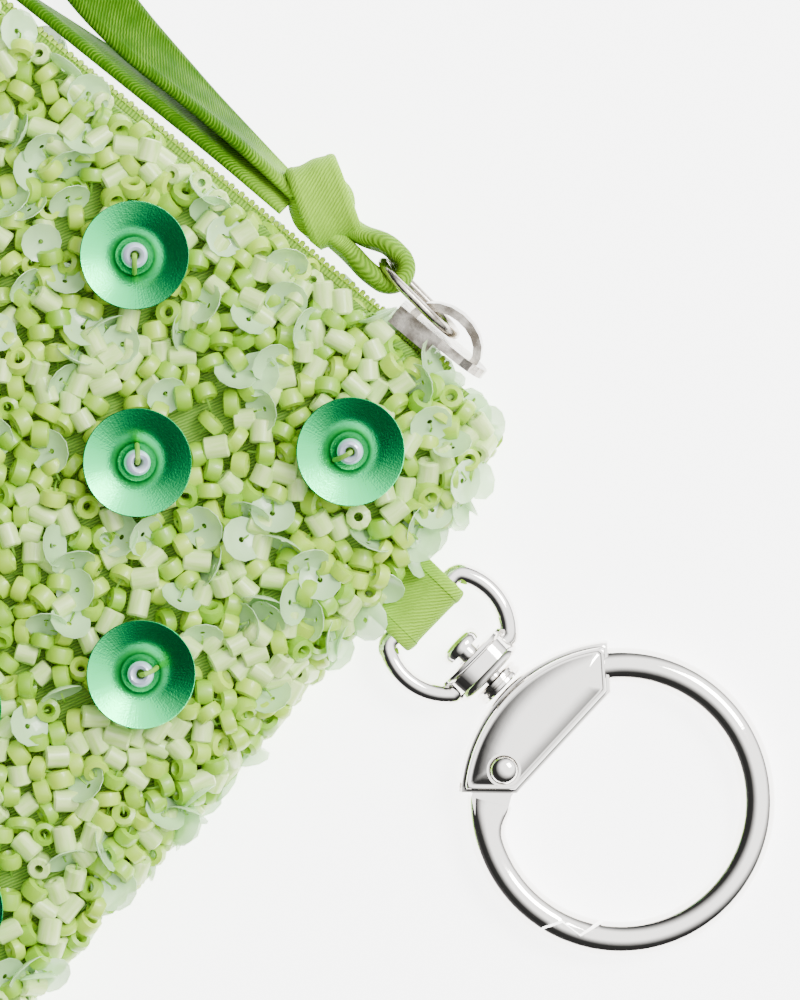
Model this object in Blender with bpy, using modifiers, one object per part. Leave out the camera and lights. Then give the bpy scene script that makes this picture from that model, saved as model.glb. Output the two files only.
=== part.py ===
"""Beaded zip pouch lying flat, with a knotted satin strap and a swivelling ring clip.

Lengths are in metres. Every piece is placed in the pouch's own frame: X runs along the
zip towards the slider, Y points out of the zip edge, and Z points up from the surface
that the pouch lies on. The frame's origin is the point of the zip edge at the slider's
nose. The last step moves that frame so that the whole object stands on the origin.
"""

import math

import bmesh
import bpy
from mathutils import Matrix, Vector

# Driving dimensions of the pouch
POUCH_WIDTH = 0.1043
POUCH_HEIGHT = 0.080
SIDE_PAST_SLIDER = 0.0064
SIDE_TAPER = 0.045
PANEL_THICKNESS = 0.00304
PANEL_CROWN = 0.0056
MOUTH_SHARE = 0.78
CORNER_PULL = 0.0016
EDGE_ROLL = 0.0011
PANEL_COLUMNS = 17
PANEL_ROWS = 12

# Driving dimensions of the zip
ZIP_INSET = 0.0013
COIL_WIDTH = 0.0042
COIL_HEIGHT = 0.0010
COIL_PITCH = 0.0012
COIL_RIPPLE = 0.00032
TAPE_THICKNESS = 0.0006
ZIP_END_SHARE = 0.90
SLIDER_LENGTH = 0.0100
SLIDER_WIDTH = 0.0072
SLIDER_WALL = 0.0009
SLIDER_PLATE = 0.0006
SLIDER_TILT = math.radians(7)
BRIDGE_WIDTH = 0.0026
BRIDGE_RISE = 0.0028
BRIDGE_THICKNESS = 0.0008
LINK_LENGTH = 0.0103
LINK_WIDTH = 0.0078
LINK_WIRE = 0.0009
LINK_RISE = math.radians(6)

# Driving dimensions of the strap
STRAP_WIDTH = 0.0056
STRAP_THICKNESS = 0.0013
STRAP_REACH = 0.0715
STRAP_SPREAD = 0.0180
SLING_THICKNESS = 0.0015
SLING_SPREAD = 0.0018
KNOT_LENGTH = 0.0096
KNOT_WIDTH = 0.0050
KNOT_HEIGHT = 0.0074
KNOT_EAR = 0.0022
KNOT_SKEW = 0.25
KNOT_BEHIND_LINK = 0.0080

# Driving dimensions of the tab and the clip
TAB_WIDTH = 0.0076
TAB_CLOTH = 0.0008
TAB_ROOT_THICKNESS = 0.0015
TAB_ROOT_DEPTH = 0.0036
TAB_FROM_ZIP = 0.0195
BAR_PAST_SIDE = 0.0031
CLIP_TURN = math.radians(-5.0)
EYE_WIRE = 0.0019
EYE_RADIUS = 0.0057
EYE_BAR_TO_CENTRE = 0.0033
EYE_CORNER = 0.00105
BARREL_START = 0.0062
BARREL_LENGTH = 0.0028
BARREL_WIDTH = 0.0075
BARREL_THICKNESS = 0.0055
SHANK_RADIUS = 0.0011
RIVET_RADIUS = 0.0021
RIVET_THICKNESS = 0.0014
COLLAR_RADIUS = 0.0024
COLLAR_LENGTH = 0.0012
RING_RADIUS = 0.01274
RING_WIRE = 0.00316
LEAF_OUTER_RADIUS = 0.0150
LEAF_INNER = 0.0074
LEAF_HALF_LENGTH = 0.0098
LEAF_INNER_HALF = 0.0062
LEAF_THICKNESS = 0.0050
GATE_SLOT = 0.0026
GATE_ROOT_THICKNESS = 0.0020
GATE_PIN_RADIUS = 0.0008
GATE_PIN_HEAD = 0.0013
GATE_PIN_FROM_RIM = 0.00362
GATE_PIN_AT_ANGLE = 208.5
GATE_BOSS = 0.0023
GATE_CHEEK = 0.0026
GATE_INNER_CLEARANCE = 0.0014

# Driving dimensions of the large sequins
CUP_RADIUS = 0.0050
CUP_DEPTH = 0.0014
CUP_WELL_RADIUS = 0.0018
CUP_SHEET = 0.0003
CUP_HOLE = 0.0005
STOP_RADIUS = 0.00125
STOP_HEIGHT = 0.0017
STOP_HOLE = 0.0004
CUP_PITCH = 0.0272
CUP_ROW_PITCH = 0.0139
CUP_FROM_ZIP = 0.0106
CUP_WOBBLE = 0.025
CUP_ROWS = (4, 3, 4, 3, 4)

# Clearances
GAP = 0.0003
ROUND_SIDES = 12
SMALL_SIDES = 8

# Soft dents of the front, as shares of the half width and the height, and of the crown
PANEL_DENTS = (
    {"across": 0.72, "down": 0.30, "spread": 0.22, "depth": 0.10},
    {"across": -0.30, "down": 0.62, "spread": 0.30, "depth": 0.07},
    {"across": -0.80, "down": 0.20, "spread": 0.20, "depth": 0.09},
    {"across": 0.35, "down": 0.90, "spread": 0.18, "depth": 0.12},
)

# Sequins sewn off their even places, as shares of the pitch along and down their row
CUP_SHIFTS = (
    {"row": 0, "column": 0, "along": 0.000, "down": 0.040},
    {"row": 0, "column": 1, "along": -0.025, "down": -0.060},
    {"row": 1, "column": 0, "along": 0.030, "down": -0.015},
    {"row": 2, "column": 0, "along": 0.072, "down": 0.050},
    {"row": 4, "column": 0, "along": 0.072, "down": 0.045},
)

# The strap's loop from the knot along the zip, round its far end and back. Along is a
# share of the reach, out of the spread and up of the strap's width, and lean is the
# angle of the strap's width to the surface.
STRAP_LOOP = (
    {"along": -0.010, "out": 0.112, "up": 0.64, "lean": 62},
    {"along": 0.090, "out": 0.118, "up": 0.61, "lean": 62},
    {"along": 0.210, "out": 0.106, "up": 0.57, "lean": 68},
    {"along": 0.340, "out": 0.080, "up": 0.56, "lean": 78},
    {"along": 0.440, "out": 0.056, "up": 0.56, "lean": 88},
    {"along": 0.560, "out": 0.056, "up": 0.56, "lean": 90},
    {"along": 0.690, "out": 0.064, "up": 0.56, "lean": 90},
    {"along": 0.810, "out": 0.105, "up": 0.56, "lean": 90},
    {"along": 0.910, "out": 0.230, "up": 0.56, "lean": 90},
    {"along": 0.975, "out": 0.420, "up": 0.56, "lean": 90},
    {"along": 1.000, "out": 0.640, "up": 0.56, "lean": 90},
    {"along": 0.965, "out": 0.860, "up": 0.56, "lean": 90},
    {"along": 0.885, "out": 0.975, "up": 0.55, "lean": 94},
    {"along": 0.790, "out": 0.935, "up": 0.52, "lean": 108},
    {"along": 0.690, "out": 0.800, "up": 0.46, "lean": 126},
    {"along": 0.590, "out": 0.620, "up": 0.36, "lean": 145},
    {"along": 0.490, "out": 0.470, "up": 0.27, "lean": 160},
    {"along": 0.390, "out": 0.350, "up": 0.26, "lean": 163},
    {"along": 0.290, "out": 0.272, "up": 0.40, "lean": 145},
    {"along": 0.185, "out": 0.235, "up": 0.53, "lean": 122},
    {"along": 0.085, "out": 0.205, "up": 0.62, "lean": 108},
    {"along": -0.010, "out": 0.170, "up": 0.65, "lean": 100},
)

for old in list(bpy.context.scene.objects):
    bpy.data.objects.remove(old, do_unlink=True)

pouch = bpy.data.collections.new("beaded_zip_pouch")
bpy.context.scene.collection.children.link(pouch)
cutters = bpy.data.collections.new("cutters")
bpy.context.scene.collection.children.link(cutters)


def finish(name, colour, roughness, metallic):
    """Make a plain Principled material."""
    made = bpy.data.materials.new(name)
    made.use_nodes = True
    shader = made.node_tree.nodes["Principled BSDF"]
    shader.inputs["Base Color"].default_value = (*colour, 1.0)
    shader.inputs["Roughness"].default_value = roughness
    shader.inputs["Metallic"].default_value = metallic
    return made


def empty(name, parent=None, place=Matrix.Identity(4)):
    """Add an axis or a frame that pieces are hung on."""
    made = bpy.data.objects.new(name, None)
    pouch.objects.link(made)
    made.parent = parent
    made.matrix_local = place
    return made


def add(name, mesh, look, parent, place=Matrix.Identity(4)):
    """Put a mesh into the object as a named piece."""
    made = bpy.data.objects.new(name, mesh)
    pouch.objects.link(made)
    if not mesh.materials:
        mesh.materials.append(look)
    made.parent = parent
    made.matrix_local = place
    mesh.shade_smooth()
    mesh.set_sharp_from_angle(angle=math.radians(40))
    return made


def bake(shape):
    """Turn a curve into a mesh with its caps welded, and remove the curve."""
    bpy.context.scene.collection.objects.link(shape)
    bpy.context.view_layer.update()
    graph = bpy.context.evaluated_depsgraph_get()
    mesh = bpy.data.meshes.new_from_object(shape.evaluated_get(graph))
    bpy.data.objects.remove(shape, do_unlink=True)
    bm = bmesh.new()
    bm.from_mesh(mesh)
    bmesh.ops.remove_doubles(bm, verts=bm.verts[:], dist=1e-6)
    bmesh.ops.recalc_face_normals(bm, faces=bm.faces[:])
    bm.to_mesh(mesh)
    bm.free()
    return mesh


def wire(points, radius, closed=False, sides=ROUND_SIDES):
    """Bend a round wire through the points."""
    curve = bpy.data.curves.new("wire", "CURVE")
    curve.dimensions = "3D"
    curve.bevel_depth = radius
    curve.bevel_resolution = sides // 4 - 1
    curve.use_fill_caps = not closed
    spline = curve.splines.new("POLY")
    spline.points.add(len(points) - 1)
    for at, point in zip(spline.points, points):
        at.co = (*point, 1.0)
    spline.use_cyclic_u = closed
    return bake(bpy.data.objects.new("wire", curve))


def plate(outlines, thickness):
    """Cut a flat plate, its first outline the edge and any others its holes."""
    curve = bpy.data.curves.new("plate", "CURVE")
    curve.dimensions = "2D"
    curve.fill_mode = "BOTH"
    curve.extrude = thickness / 2
    for outline in outlines:
        spline = curve.splines.new("POLY")
        spline.points.add(len(outline) - 1)
        for at, (x, y) in zip(spline.points, outline):
            at.co = (x, y, 0.0, 1.0)
        spline.use_cyclic_u = True
    return bake(bpy.data.objects.new("plate", curve))


def turned(name, profile, look, parent, place, sides, closed):
    """Turn a profile of radius and height round Z with a Screw modifier."""
    bm = bmesh.new()
    rim = [bm.verts.new((radius, 0.0, height)) for radius, height in profile]
    ends = rim[1:] + rim[:1] if closed else rim[1:]
    for start, end in zip(rim, ends):
        bm.edges.new((start, end))
    mesh = bpy.data.meshes.new(name)
    bm.to_mesh(mesh)
    bm.free()
    made = add(name, mesh, look, parent, place)
    spin = made.modifiers.new("turn", "SCREW")
    spin.steps = sides
    spin.render_steps = sides
    spin.use_merge_vertices = True
    spin.merge_threshold = 0.00001
    return made


def arc(centre, radius, start, stop, steps):
    """Points of an arc in a plane, its angles in degrees."""
    turn = (stop - start) / steps
    angles = [math.radians(start + turn * step) for step in range(steps + 1)]
    return [(centre[0] + radius * math.cos(a), centre[1] + radius * math.sin(a)) for a in angles]


def polar(radius, degrees):
    """A point round the ring's centre."""
    angle = math.radians(degrees)
    return (radius * math.cos(angle), radius * math.sin(angle))


def tool(name, mesh, parent, place=Matrix.Identity(4)):
    """Make a hidden shape that is cut out of a piece or joined to it."""
    made = bpy.data.objects.new(name, mesh)
    cutters.objects.link(made)
    made.parent = parent
    made.matrix_local = place
    made.hide_render = True
    made.display_type = "WIRE"
    return made


def join(piece, other, operation, crossing=False):
    """Cut or join a piece with another shape, which may cross itself."""
    boolean = piece.modifiers.new(operation.lower(), "BOOLEAN")
    boolean.operation = operation
    boolean.object = other
    boolean.solver = "EXACT"
    boolean.use_self = crossing


def block(size, centre):
    """A box of a size at a place."""
    bm = bmesh.new()
    bmesh.ops.create_cube(bm, size=1.0)
    bmesh.ops.scale(bm, vec=size, verts=bm.verts[:])
    bmesh.ops.translate(bm, vec=centre, verts=bm.verts[:])
    mesh = bpy.data.meshes.new("block")
    bm.to_mesh(mesh)
    bm.free()
    return mesh


def smooth_route(stations, steps):
    """Read a smooth curve through the stations, which may be points or longer rows."""
    route = []
    last = len(stations) - 1
    for index in range(last):
        before = stations[max(index - 1, 0)]
        start = stations[index]
        end = stations[index + 1]
        after = stations[min(index + 2, last)]
        for step in range(steps):
            t = step / steps
            route.append(tuple(
                0.5 * (2 * b + (c - a) * t + (2 * a - 5 * b + 4 * c - d) * t * t
                       + (3 * b - a - 3 * c + d) * t ** 3)
                for a, b, c, d in zip(before, start, end, after)))
    route.append(tuple(stations[last]))
    return route


satin = finish("satin", (0.33, 0.58, 0.10), 0.42, 0.0)
bead_bed = finish("bead_bed", (0.58, 0.76, 0.36), 0.45, 0.0)
zip_cloth = finish("zip_cloth", (0.42, 0.62, 0.16), 0.7, 0.0)
nylon = finish("nylon", (0.62, 0.72, 0.24), 0.4, 0.0)
cast_metal = finish("cast_metal", (0.72, 0.70, 0.67), 0.25, 1.0)
plated_metal = finish("plated_metal", (0.80, 0.79, 0.78), 0.08, 1.0)
foil = finish("emerald_foil", (0.01, 0.45, 0.20), 0.28, 1.0)
pearl = finish("pearl_bead", (0.80, 0.88, 0.92), 0.15, 0.1)

# The clip rests on the leaf's inner edge and on the far side of its ring, which sets
# its slope and the height of the bar and of the pouch's side seam.
barrel_end = BARREL_START + BARREL_LENGTH
collar_end = barrel_end + GAP + COLLAR_LENGTH
bar_to_ring = collar_end + GAP + LEAF_OUTER_RADIUS
rest_span = (bar_to_ring + RING_RADIUS) - (bar_to_ring - LEAF_INNER)
rest_reach = math.hypot(rest_span, LEAF_THICKNESS / 2)
CLIP_SLOPE = (math.atan2(LEAF_THICKNESS / 2, rest_span)
              - math.asin(RING_WIRE / 2 / rest_reach))
SEAM_HEIGHT = (bar_to_ring + RING_RADIUS) * math.sin(CLIP_SLOPE) + RING_WIRE / 2

pouch_centre = SIDE_PAST_SLIDER - POUCH_WIDTH / 2
frame = empty("pouch_frame")


def edge_closeness(across, down):
    """One on the panel's edge, falling to nothing a short way in."""
    side = (1 - abs(across)) * POUCH_WIDTH / 2
    end = min(down, 1 - down) * POUCH_HEIGHT
    return max(0.0, 1 - min(side, end) / (2 * EDGE_ROLL))


def crown(across, down):
    """How far the front stands out, as a share of the crown."""
    swell = math.sqrt(max(0.0, 1 - abs(across) ** 3)) * math.sqrt(max(0.0, 1 - down ** 3))
    rise = swell * (MOUTH_SHARE + (1 - MOUTH_SHARE) * math.sin(math.pi * down))
    for dent in PANEL_DENTS:
        away = math.hypot(across - dent["across"], (down - dent["down"]) * 2) / dent["spread"]
        rise -= dent["depth"] * swell * math.exp(-away * away)
    return rise


def front_inner(across, down):
    """Height of the front's inner face."""
    return SEAM_HEIGHT + GAP / 2 + PANEL_CROWN * crown(across, down)


def front_outer(across, down):
    """Height of the front's outer face."""
    roll = EDGE_ROLL * edge_closeness(across, down) ** 2
    return front_inner(across, down) + PANEL_THICKNESS - roll


def back_inner(across, down):
    """Height of the back's inner face, which is flat."""
    return SEAM_HEIGHT - GAP / 2


def back_outer(across, down):
    """Height of the back's outer face, flat on the surface with a rolled edge."""
    return EDGE_ROLL * edge_closeness(across, down) ** 2


def panel_point(across, down):
    """Where a share of the panel lies in the pouch's frame."""
    level = 2 * down - 1
    half = POUCH_WIDTH / 2 * (1 - SIDE_TAPER * down ** 1.6) - CORNER_PULL * abs(level) ** 10
    drop = (POUCH_HEIGHT / 2 - CORNER_PULL * abs(across) ** 12) * level
    return (pouch_centre + half * across, -ZIP_INSET - POUCH_HEIGHT / 2 - drop)


def panel(name, outer, inner):
    """Loft a panel's wall between its outer and inner faces."""
    bm = bmesh.new()
    bmesh.ops.create_grid(bm, x_segments=PANEL_COLUMNS, y_segments=PANEL_ROWS, size=1.0)
    shares = {}
    for vert in bm.verts:
        across = math.sin(vert.co.x * math.pi / 2)
        down = (1 - math.sin(vert.co.y * math.pi / 2)) / 2
        shares[vert.index] = (across, down)
    for vert in bm.verts:
        across, down = shares[vert.index]
        vert.co = (*panel_point(across, down), outer(across, down))
    flat = list(bm.verts)
    walls = bmesh.ops.extrude_face_region(bm, geom=bm.faces[:])
    for vert in (item for item in walls["geom"] if isinstance(item, bmesh.types.BMVert)):
        nearest = min(flat, key=lambda other: (other.co - vert.co).length_squared)
        vert.co.z = inner(*shares[nearest.index])
    bmesh.ops.recalc_face_normals(bm, faces=bm.faces[:])
    mesh = bpy.data.meshes.new(name)
    bm.to_mesh(mesh)
    bm.free()
    return add(name, mesh, bead_bed, frame)


front_panel = panel("front_panel", front_outer, front_inner)
back_panel = panel("back_panel", back_outer, back_inner)


def mouth_middle(x):
    """Height of the zip's middle line at a place along it."""
    across = (x - pouch_centre) / (POUCH_WIDTH / 2)
    return (front_inner(across, 0.0) + back_inner(across, 0.0)) / 2


def zip_tape(name, side):
    """One tape of the zip, from the coil to a panel's inner face."""
    reach = POUCH_WIDTH / 2 * ZIP_END_SHARE
    bm = bmesh.new()
    bmesh.ops.create_cube(bm, size=1.0)
    bmesh.ops.scale(bm, vec=(2 * reach, TAPE_THICKNESS, 1.0), verts=bm.verts[:])
    along = [edge for edge in bm.edges if abs(edge.verts[0].co.x - edge.verts[1].co.x) > reach]
    bmesh.ops.subdivide_edges(bm, edges=along, cuts=2 * PANEL_COLUMNS, use_grid_fill=True)
    for vert in bm.verts:
        x = pouch_centre + vert.co.x
        across = vert.co.x / (POUCH_WIDTH / 2)
        middle = mouth_middle(x) + side * GAP / 2
        wall = front_inner(across, 0.0) if side > 0 else back_inner(across, 0.0)
        height = middle if vert.co.z * side < 0 else wall - side * GAP
        vert.co = (x, vert.co.y - ZIP_INSET - TAPE_THICKNESS / 2, height)
    mesh = bpy.data.meshes.new(name)
    bm.to_mesh(mesh)
    bm.free()
    return add(name, mesh, zip_cloth, frame)


zip_tape("zip_tape_front", 1)
zip_tape("zip_tape_back", -1)

# The zip's coil is a bar with a rounded ripple for each turn, bent along the mouth
coil_start = pouch_centre - POUCH_WIDTH / 2 * ZIP_END_SHARE
coil_end = -SLIDER_PLATE - 2 * SLIDER_WALL
coil_floor = GAP - ZIP_INSET
turns = int((coil_end - coil_start) / COIL_PITCH)
coil_edge = [(coil_end, coil_floor), (coil_start, coil_floor)]
for turn in range(turns):
    left = coil_start + turn * COIL_PITCH
    coil_edge.append((left, coil_floor + COIL_HEIGHT - COIL_RIPPLE))
    coil_edge.append((left + COIL_PITCH * 0.3, coil_floor + COIL_HEIGHT))
    coil_edge.append((left + COIL_PITCH * 0.7, coil_floor + COIL_HEIGHT))
coil_edge.append((coil_end, coil_floor + COIL_HEIGHT - COIL_RIPPLE))
coil_mesh = plate([coil_edge], COIL_WIDTH)
for vert in coil_mesh.vertices:
    vert.co.z += mouth_middle(vert.co.x)
add("zip_coil", coil_mesh, nylon, frame)

# The slider rides the coil like a saddle, with its bridge above it. Its own frame has X
# along the zip from the slider's middle, Y out of the zip and Z across it.
slider_middle = -SLIDER_LENGTH / 2 + GAP
slider_foot = GAP - ZIP_INSET
slider_top = slider_foot + COIL_HEIGHT + GAP + SLIDER_PLATE
slider_lift = SLIDER_WIDTH / 2 * math.sin(SLIDER_TILT)
slider_place = (Matrix.Translation((slider_middle, slider_lift, mouth_middle(slider_middle)))
                @ Matrix.Rotation(SLIDER_TILT, 4, "X"))
slider_frame = empty("slider_frame", frame, slider_place)
slider_outline = (
    arc((SLIDER_LENGTH / 2 - SLIDER_WIDTH / 2, 0.0), SLIDER_WIDTH / 2, -70, 70, 8)
    + [(0.0, SLIDER_WIDTH / 2), (-SLIDER_LENGTH / 2, SLIDER_WIDTH * 0.44),
       (-SLIDER_LENGTH / 2, -SLIDER_WIDTH * 0.44), (0.0, -SLIDER_WIDTH / 2)])
slider_turn = Matrix.Rotation(math.radians(90), 4, "X")
body_height = slider_top - slider_foot
slider = add("zip_slider", plate([slider_outline], body_height), cast_metal, slider_frame,
             Matrix.Translation((0.0, slider_foot + body_height / 2, 0.0)) @ slider_turn)
channel_reach = SLIDER_LENGTH - 2 * SLIDER_WALL
channel_height = COIL_HEIGHT + GAP
channel = block((channel_reach + SLIDER_LENGTH, 2 * channel_height, COIL_WIDTH + 4 * GAP),
                (channel_reach / 2 - SLIDER_LENGTH, slider_foot, 0.0))
join(slider, tool("slider_channel", channel, slider_frame), "DIFFERENCE")
flange_cut = block((SLIDER_LENGTH, channel_height, 2 * SLIDER_WIDTH),
                   (SLIDER_LENGTH / 2 - SLIDER_WALL / 2, slider_foot + channel_height / 2 - GAP, 0.0))
join(slider, tool("slider_nose_cut", flange_cut, slider_frame), "DIFFERENCE")
bridge_half = SLIDER_LENGTH * 0.40
bridge_foot = slider_top - SLIDER_PLATE / 2
bridge_height = BRIDGE_RISE + SLIDER_PLATE / 2
bridge_outer = [(bridge_half * math.cos(math.radians(a)),
                 bridge_foot + bridge_height * math.sin(math.radians(a)))
                for a in range(0, 181, 18)]
bridge_inner = [((bridge_half - BRIDGE_THICKNESS) * math.cos(math.radians(a)),
                 bridge_foot + (bridge_height - BRIDGE_THICKNESS) * math.sin(math.radians(a)))
                for a in range(180, -1, -18)]
bridge = plate([bridge_outer + bridge_inner], BRIDGE_WIDTH)
join(slider, tool("slider_bridge", bridge, slider_frame), "UNION")

# The puller is an oval wire link whose end runs under the bridge
link_radius = LINK_WIRE / 2
link_end = LINK_WIDTH / 2 - link_radius
link_straight = LINK_LENGTH / 2 - LINK_WIDTH / 2
link_path = ([(x, 0.0, z) for x, z in arc((link_straight, 0.0), link_end, -90, 90, 9)]
             + [(x, 0.0, z) for x, z in arc((-link_straight, 0.0), link_end, 90, 270, 9)])
link_under_bridge = bridge_half - BRIDGE_THICKNESS - GAP - link_radius - SLIDER_LENGTH * 0.19
link_height = slider_top + GAP + link_radius
link_place = (Matrix.Translation((link_under_bridge, link_height, 0.0))
              @ Matrix.Rotation(-LINK_RISE, 4, "Z")
              @ Matrix.Translation((link_radius - LINK_LENGTH / 2, 0.0, 0.0)))
add("puller_link", wire(link_path, link_radius, closed=True, sides=8), cast_metal, slider_frame,
    link_place)

# The strap is a folded satin band. It is looped through the link, knotted behind it and
# led along the zip and back in one closed loop.
link_far = slider_place @ link_place @ Vector((link_radius - LINK_LENGTH / 2, 0.0, 0.0))
knot = Vector((link_far.x - KNOT_BEHIND_LINK, KNOT_WIDTH / 2 + GAP, KNOT_HEIGHT / 2 + GAP))


def band(rows, width, thickness):
    """Sweep the strap's section through rows of place, lean, width and thickness."""
    bm = bmesh.new()
    rings = []
    count = len(rows)
    for index, (x, y, z, lean, wide) in enumerate(rows):
        ahead = Vector(rows[min(index + 1, count - 1)][:3])
        behind = Vector(rows[max(index - 1, 0)][:3])
        way = (ahead - behind).normalized()
        flat = Vector((0.0, 0.0, 1.0)).cross(way).normalized()
        up = way.cross(flat)
        angle = math.radians(lean)
        side = flat * math.cos(angle) + up * math.sin(angle)
        face = way.cross(side)
        ring = []
        for step in range(SMALL_SIDES):
            turn = math.radians(360 * (step + 0.5) / SMALL_SIDES)
            across = math.copysign(abs(math.cos(turn)) ** 0.7, math.cos(turn))
            through = math.copysign(abs(math.sin(turn)) ** 0.7, math.sin(turn))
            ring.append(bm.verts.new(Vector((x, y, z)) + side * (across * width * wide / 2)
                                     + face * (through * thickness / 2)))
        rings.append(ring)
    for ring, following in zip(rings, rings[1:]):
        for step in range(SMALL_SIDES):
            after = (step + 1) % SMALL_SIDES
            bm.faces.new((ring[step], ring[after], following[after], following[step]))
    bm.faces.new(list(reversed(rings[0])))
    bm.faces.new(rings[-1])
    bmesh.ops.recalc_face_normals(bm, faces=bm.faces[:])
    mesh = bpy.data.meshes.new("band")
    bm.to_mesh(mesh)
    bm.free()
    return mesh


loop_rows = smooth_route([
    (knot.x - KNOT_LENGTH * 0.3 - row["along"] * STRAP_REACH,
     row["out"] * STRAP_SPREAD,
     row["up"] * STRAP_WIDTH,
     row["lean"], 1.0) for row in STRAP_LOOP], 2)
strap_loop = tool("strap_loop", band(loop_rows, STRAP_WIDTH, STRAP_THICKNESS), frame)

# The sling holds the link's far end between its two strands
sling_bend = (LINK_WIRE + 2 * GAP + SLING_THICKNESS) / 2
sling_turn_x = link_far.x + GAP + link_radius
sling_narrow = (LINK_WIDTH - 2 * LINK_WIRE - 2 * GAP) / STRAP_WIDTH * 0.95
sling_start = link_far.x - LINK_WIRE
sling_rows = [(knot.x, knot.y - SLING_SPREAD / 2, knot.z, 90, 0.8),
              (knot.x + KNOT_LENGTH * 0.45, knot.y - SLING_SPREAD / 2, knot.z, 90, 0.9),
              (sling_start, link_far.y - sling_bend, link_far.z, 90, sling_narrow)]
sling_rows += [(x, y, link_far.z, 90, sling_narrow)
               for x, y in arc((sling_turn_x, link_far.y), sling_bend, -90, 90, 8)]
sling_rows += [(sling_start, link_far.y + sling_bend, link_far.z, 90, sling_narrow),
               (knot.x + KNOT_LENGTH * 0.45, knot.y + SLING_SPREAD / 2, knot.z, 90, 0.9),
               (knot.x, knot.y + SLING_SPREAD / 2, knot.z, 90, 0.8)]
strap_sling = tool("strap_sling", band(sling_rows, STRAP_WIDTH, SLING_THICKNESS), frame)

knot_body = bmesh.new()
bmesh.ops.create_uvsphere(knot_body, u_segments=14, v_segments=8, radius=0.5)
bmesh.ops.scale(knot_body, vec=(KNOT_LENGTH, KNOT_WIDTH, KNOT_HEIGHT), verts=knot_body.verts[:])
for vert in knot_body.verts:
    lift = max(0.0, vert.co.y / (KNOT_WIDTH / 2))
    vert.co.x += KNOT_SKEW * vert.co.y * (1 - lift)
    vert.co.y += KNOT_EAR * lift ** 3
bmesh.ops.translate(knot_body, vec=knot, verts=knot_body.verts[:])
knot_mesh = bpy.data.meshes.new("knot")
knot_body.to_mesh(knot_mesh)
knot_body.free()
strap = add("strap", knot_mesh, satin, frame)
join(strap, strap_sling, "UNION")
join(strap, strap_loop, "UNION", crossing=True)

# The clip's frame has its origin in the middle of the eye's bar, X along the swivel to
# the ring, Y along the bar and Z out of the ring's face.
bar_x = SIDE_PAST_SLIDER + BAR_PAST_SIDE
tab_place = (Matrix.Translation((bar_x, -TAB_FROM_ZIP, SEAM_HEIGHT))
             @ Matrix.Rotation(CLIP_TURN, 4, "Z"))
eye_axis = empty("eye_axis", frame, tab_place @ Matrix.Rotation(CLIP_SLOPE, 4, "Y"))
swivel_axis = empty("swivel_axis", eye_axis)
ring_axis = empty("ring_centre", swivel_axis, Matrix.Translation((bar_to_ring, 0.0, 0.0)))

# The tab is a satin strip folded round the bar, its root sewn into the side seam
bar_radius = EYE_WIRE / 2
tab_hole = bar_radius + GAP
tab_round = tab_hole + TAB_CLOTH
tab_root_end = -(BAR_PAST_SIDE + TAB_ROOT_DEPTH)
neck = tab_root_end * 0.42
tab_side = ([(tab_root_end, TAB_ROOT_THICKNESS / 2), (neck, TAB_ROOT_THICKNESS / 2)])
tab_edge = (arc((0.0, 0.0), tab_round, -115, 115, 14)
            + list(reversed(tab_side)) + [(x, -y) for x, y in tab_side])
tab_turn = Matrix.Rotation(math.radians(90), 4, "X")
tab_bore = arc((0.0, 0.0), tab_hole, 0, 330, 11)
add("tab", plate([tab_edge, tab_bore], TAB_WIDTH), satin, frame, tab_place @ tab_turn)
pocket = block((2 * TAB_ROOT_DEPTH + 2 * GAP, TAB_WIDTH + 2 * GAP, TAB_ROOT_THICKNESS + 2 * GAP),
               (-BAR_PAST_SIDE, 0.0, 0.0))
tab_pocket = tool("tab_pocket", pocket, frame, tab_place)
join(front_panel, tab_pocket, "DIFFERENCE")
join(back_panel, tab_pocket, "DIFFERENCE")

# The eye: a round wire whose bar turns in the tab, cast in one with the swivel barrel
eye_centre = (EYE_BAR_TO_CENTRE, 0.0)
corner_lift = math.sqrt((EYE_RADIUS - EYE_CORNER) ** 2
                        - (EYE_BAR_TO_CENTRE - EYE_CORNER) ** 2)
corner_turn = math.degrees(math.atan2(corner_lift, EYE_CORNER - EYE_BAR_TO_CENTRE))
barrel_middle = BARREL_START + BARREL_LENGTH / 2
arm_turn = math.degrees(math.acos((barrel_middle - EYE_BAR_TO_CENTRE) / EYE_RADIUS))
eye_root = [(barrel_middle, BARREL_WIDTH * 0.38)]
eye_side = arc(eye_centre, EYE_RADIUS, arm_turn, corner_turn, 10)
eye_corner = arc((EYE_CORNER, corner_lift), EYE_CORNER, corner_turn, 180, 3)[1:]
eye_half = eye_root + eye_side + eye_corner
eye_path = [(x, y, 0.0) for x, y in eye_half]
eye_path += [(x, -y, 0.0) for x, y in reversed(eye_half)]
eye = add("d_eye", wire(eye_path, bar_radius), plated_metal, eye_axis)
barrel = bmesh.new()
bmesh.ops.create_cone(barrel, cap_ends=True, segments=20, radius1=0.5, radius2=0.5, depth=1.0)
bmesh.ops.rotate(barrel, cent=(0.0, 0.0, 0.0), matrix=Matrix.Rotation(math.radians(90), 3, "Y"),
                 verts=barrel.verts[:])
bmesh.ops.scale(barrel, vec=(BARREL_LENGTH, BARREL_WIDTH, BARREL_THICKNESS), verts=barrel.verts[:])
barrel_rims = [edge for edge in barrel.edges
               if abs(edge.verts[0].co.x - edge.verts[1].co.x) < BARREL_LENGTH / 2]
bmesh.ops.bevel(barrel, geom=barrel_rims, offset=GAP, segments=1, profile=0.5, affect="EDGES",
                material=-1)
bmesh.ops.translate(barrel, vec=(barrel_middle, 0.0, 0.0), verts=barrel.verts[:])
barrel_mesh = bpy.data.meshes.new("barrel")
barrel.to_mesh(barrel_mesh)
barrel.free()
join(eye, tool("eye_barrel", barrel_mesh, eye_axis), "UNION")
bore = bmesh.new()
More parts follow.
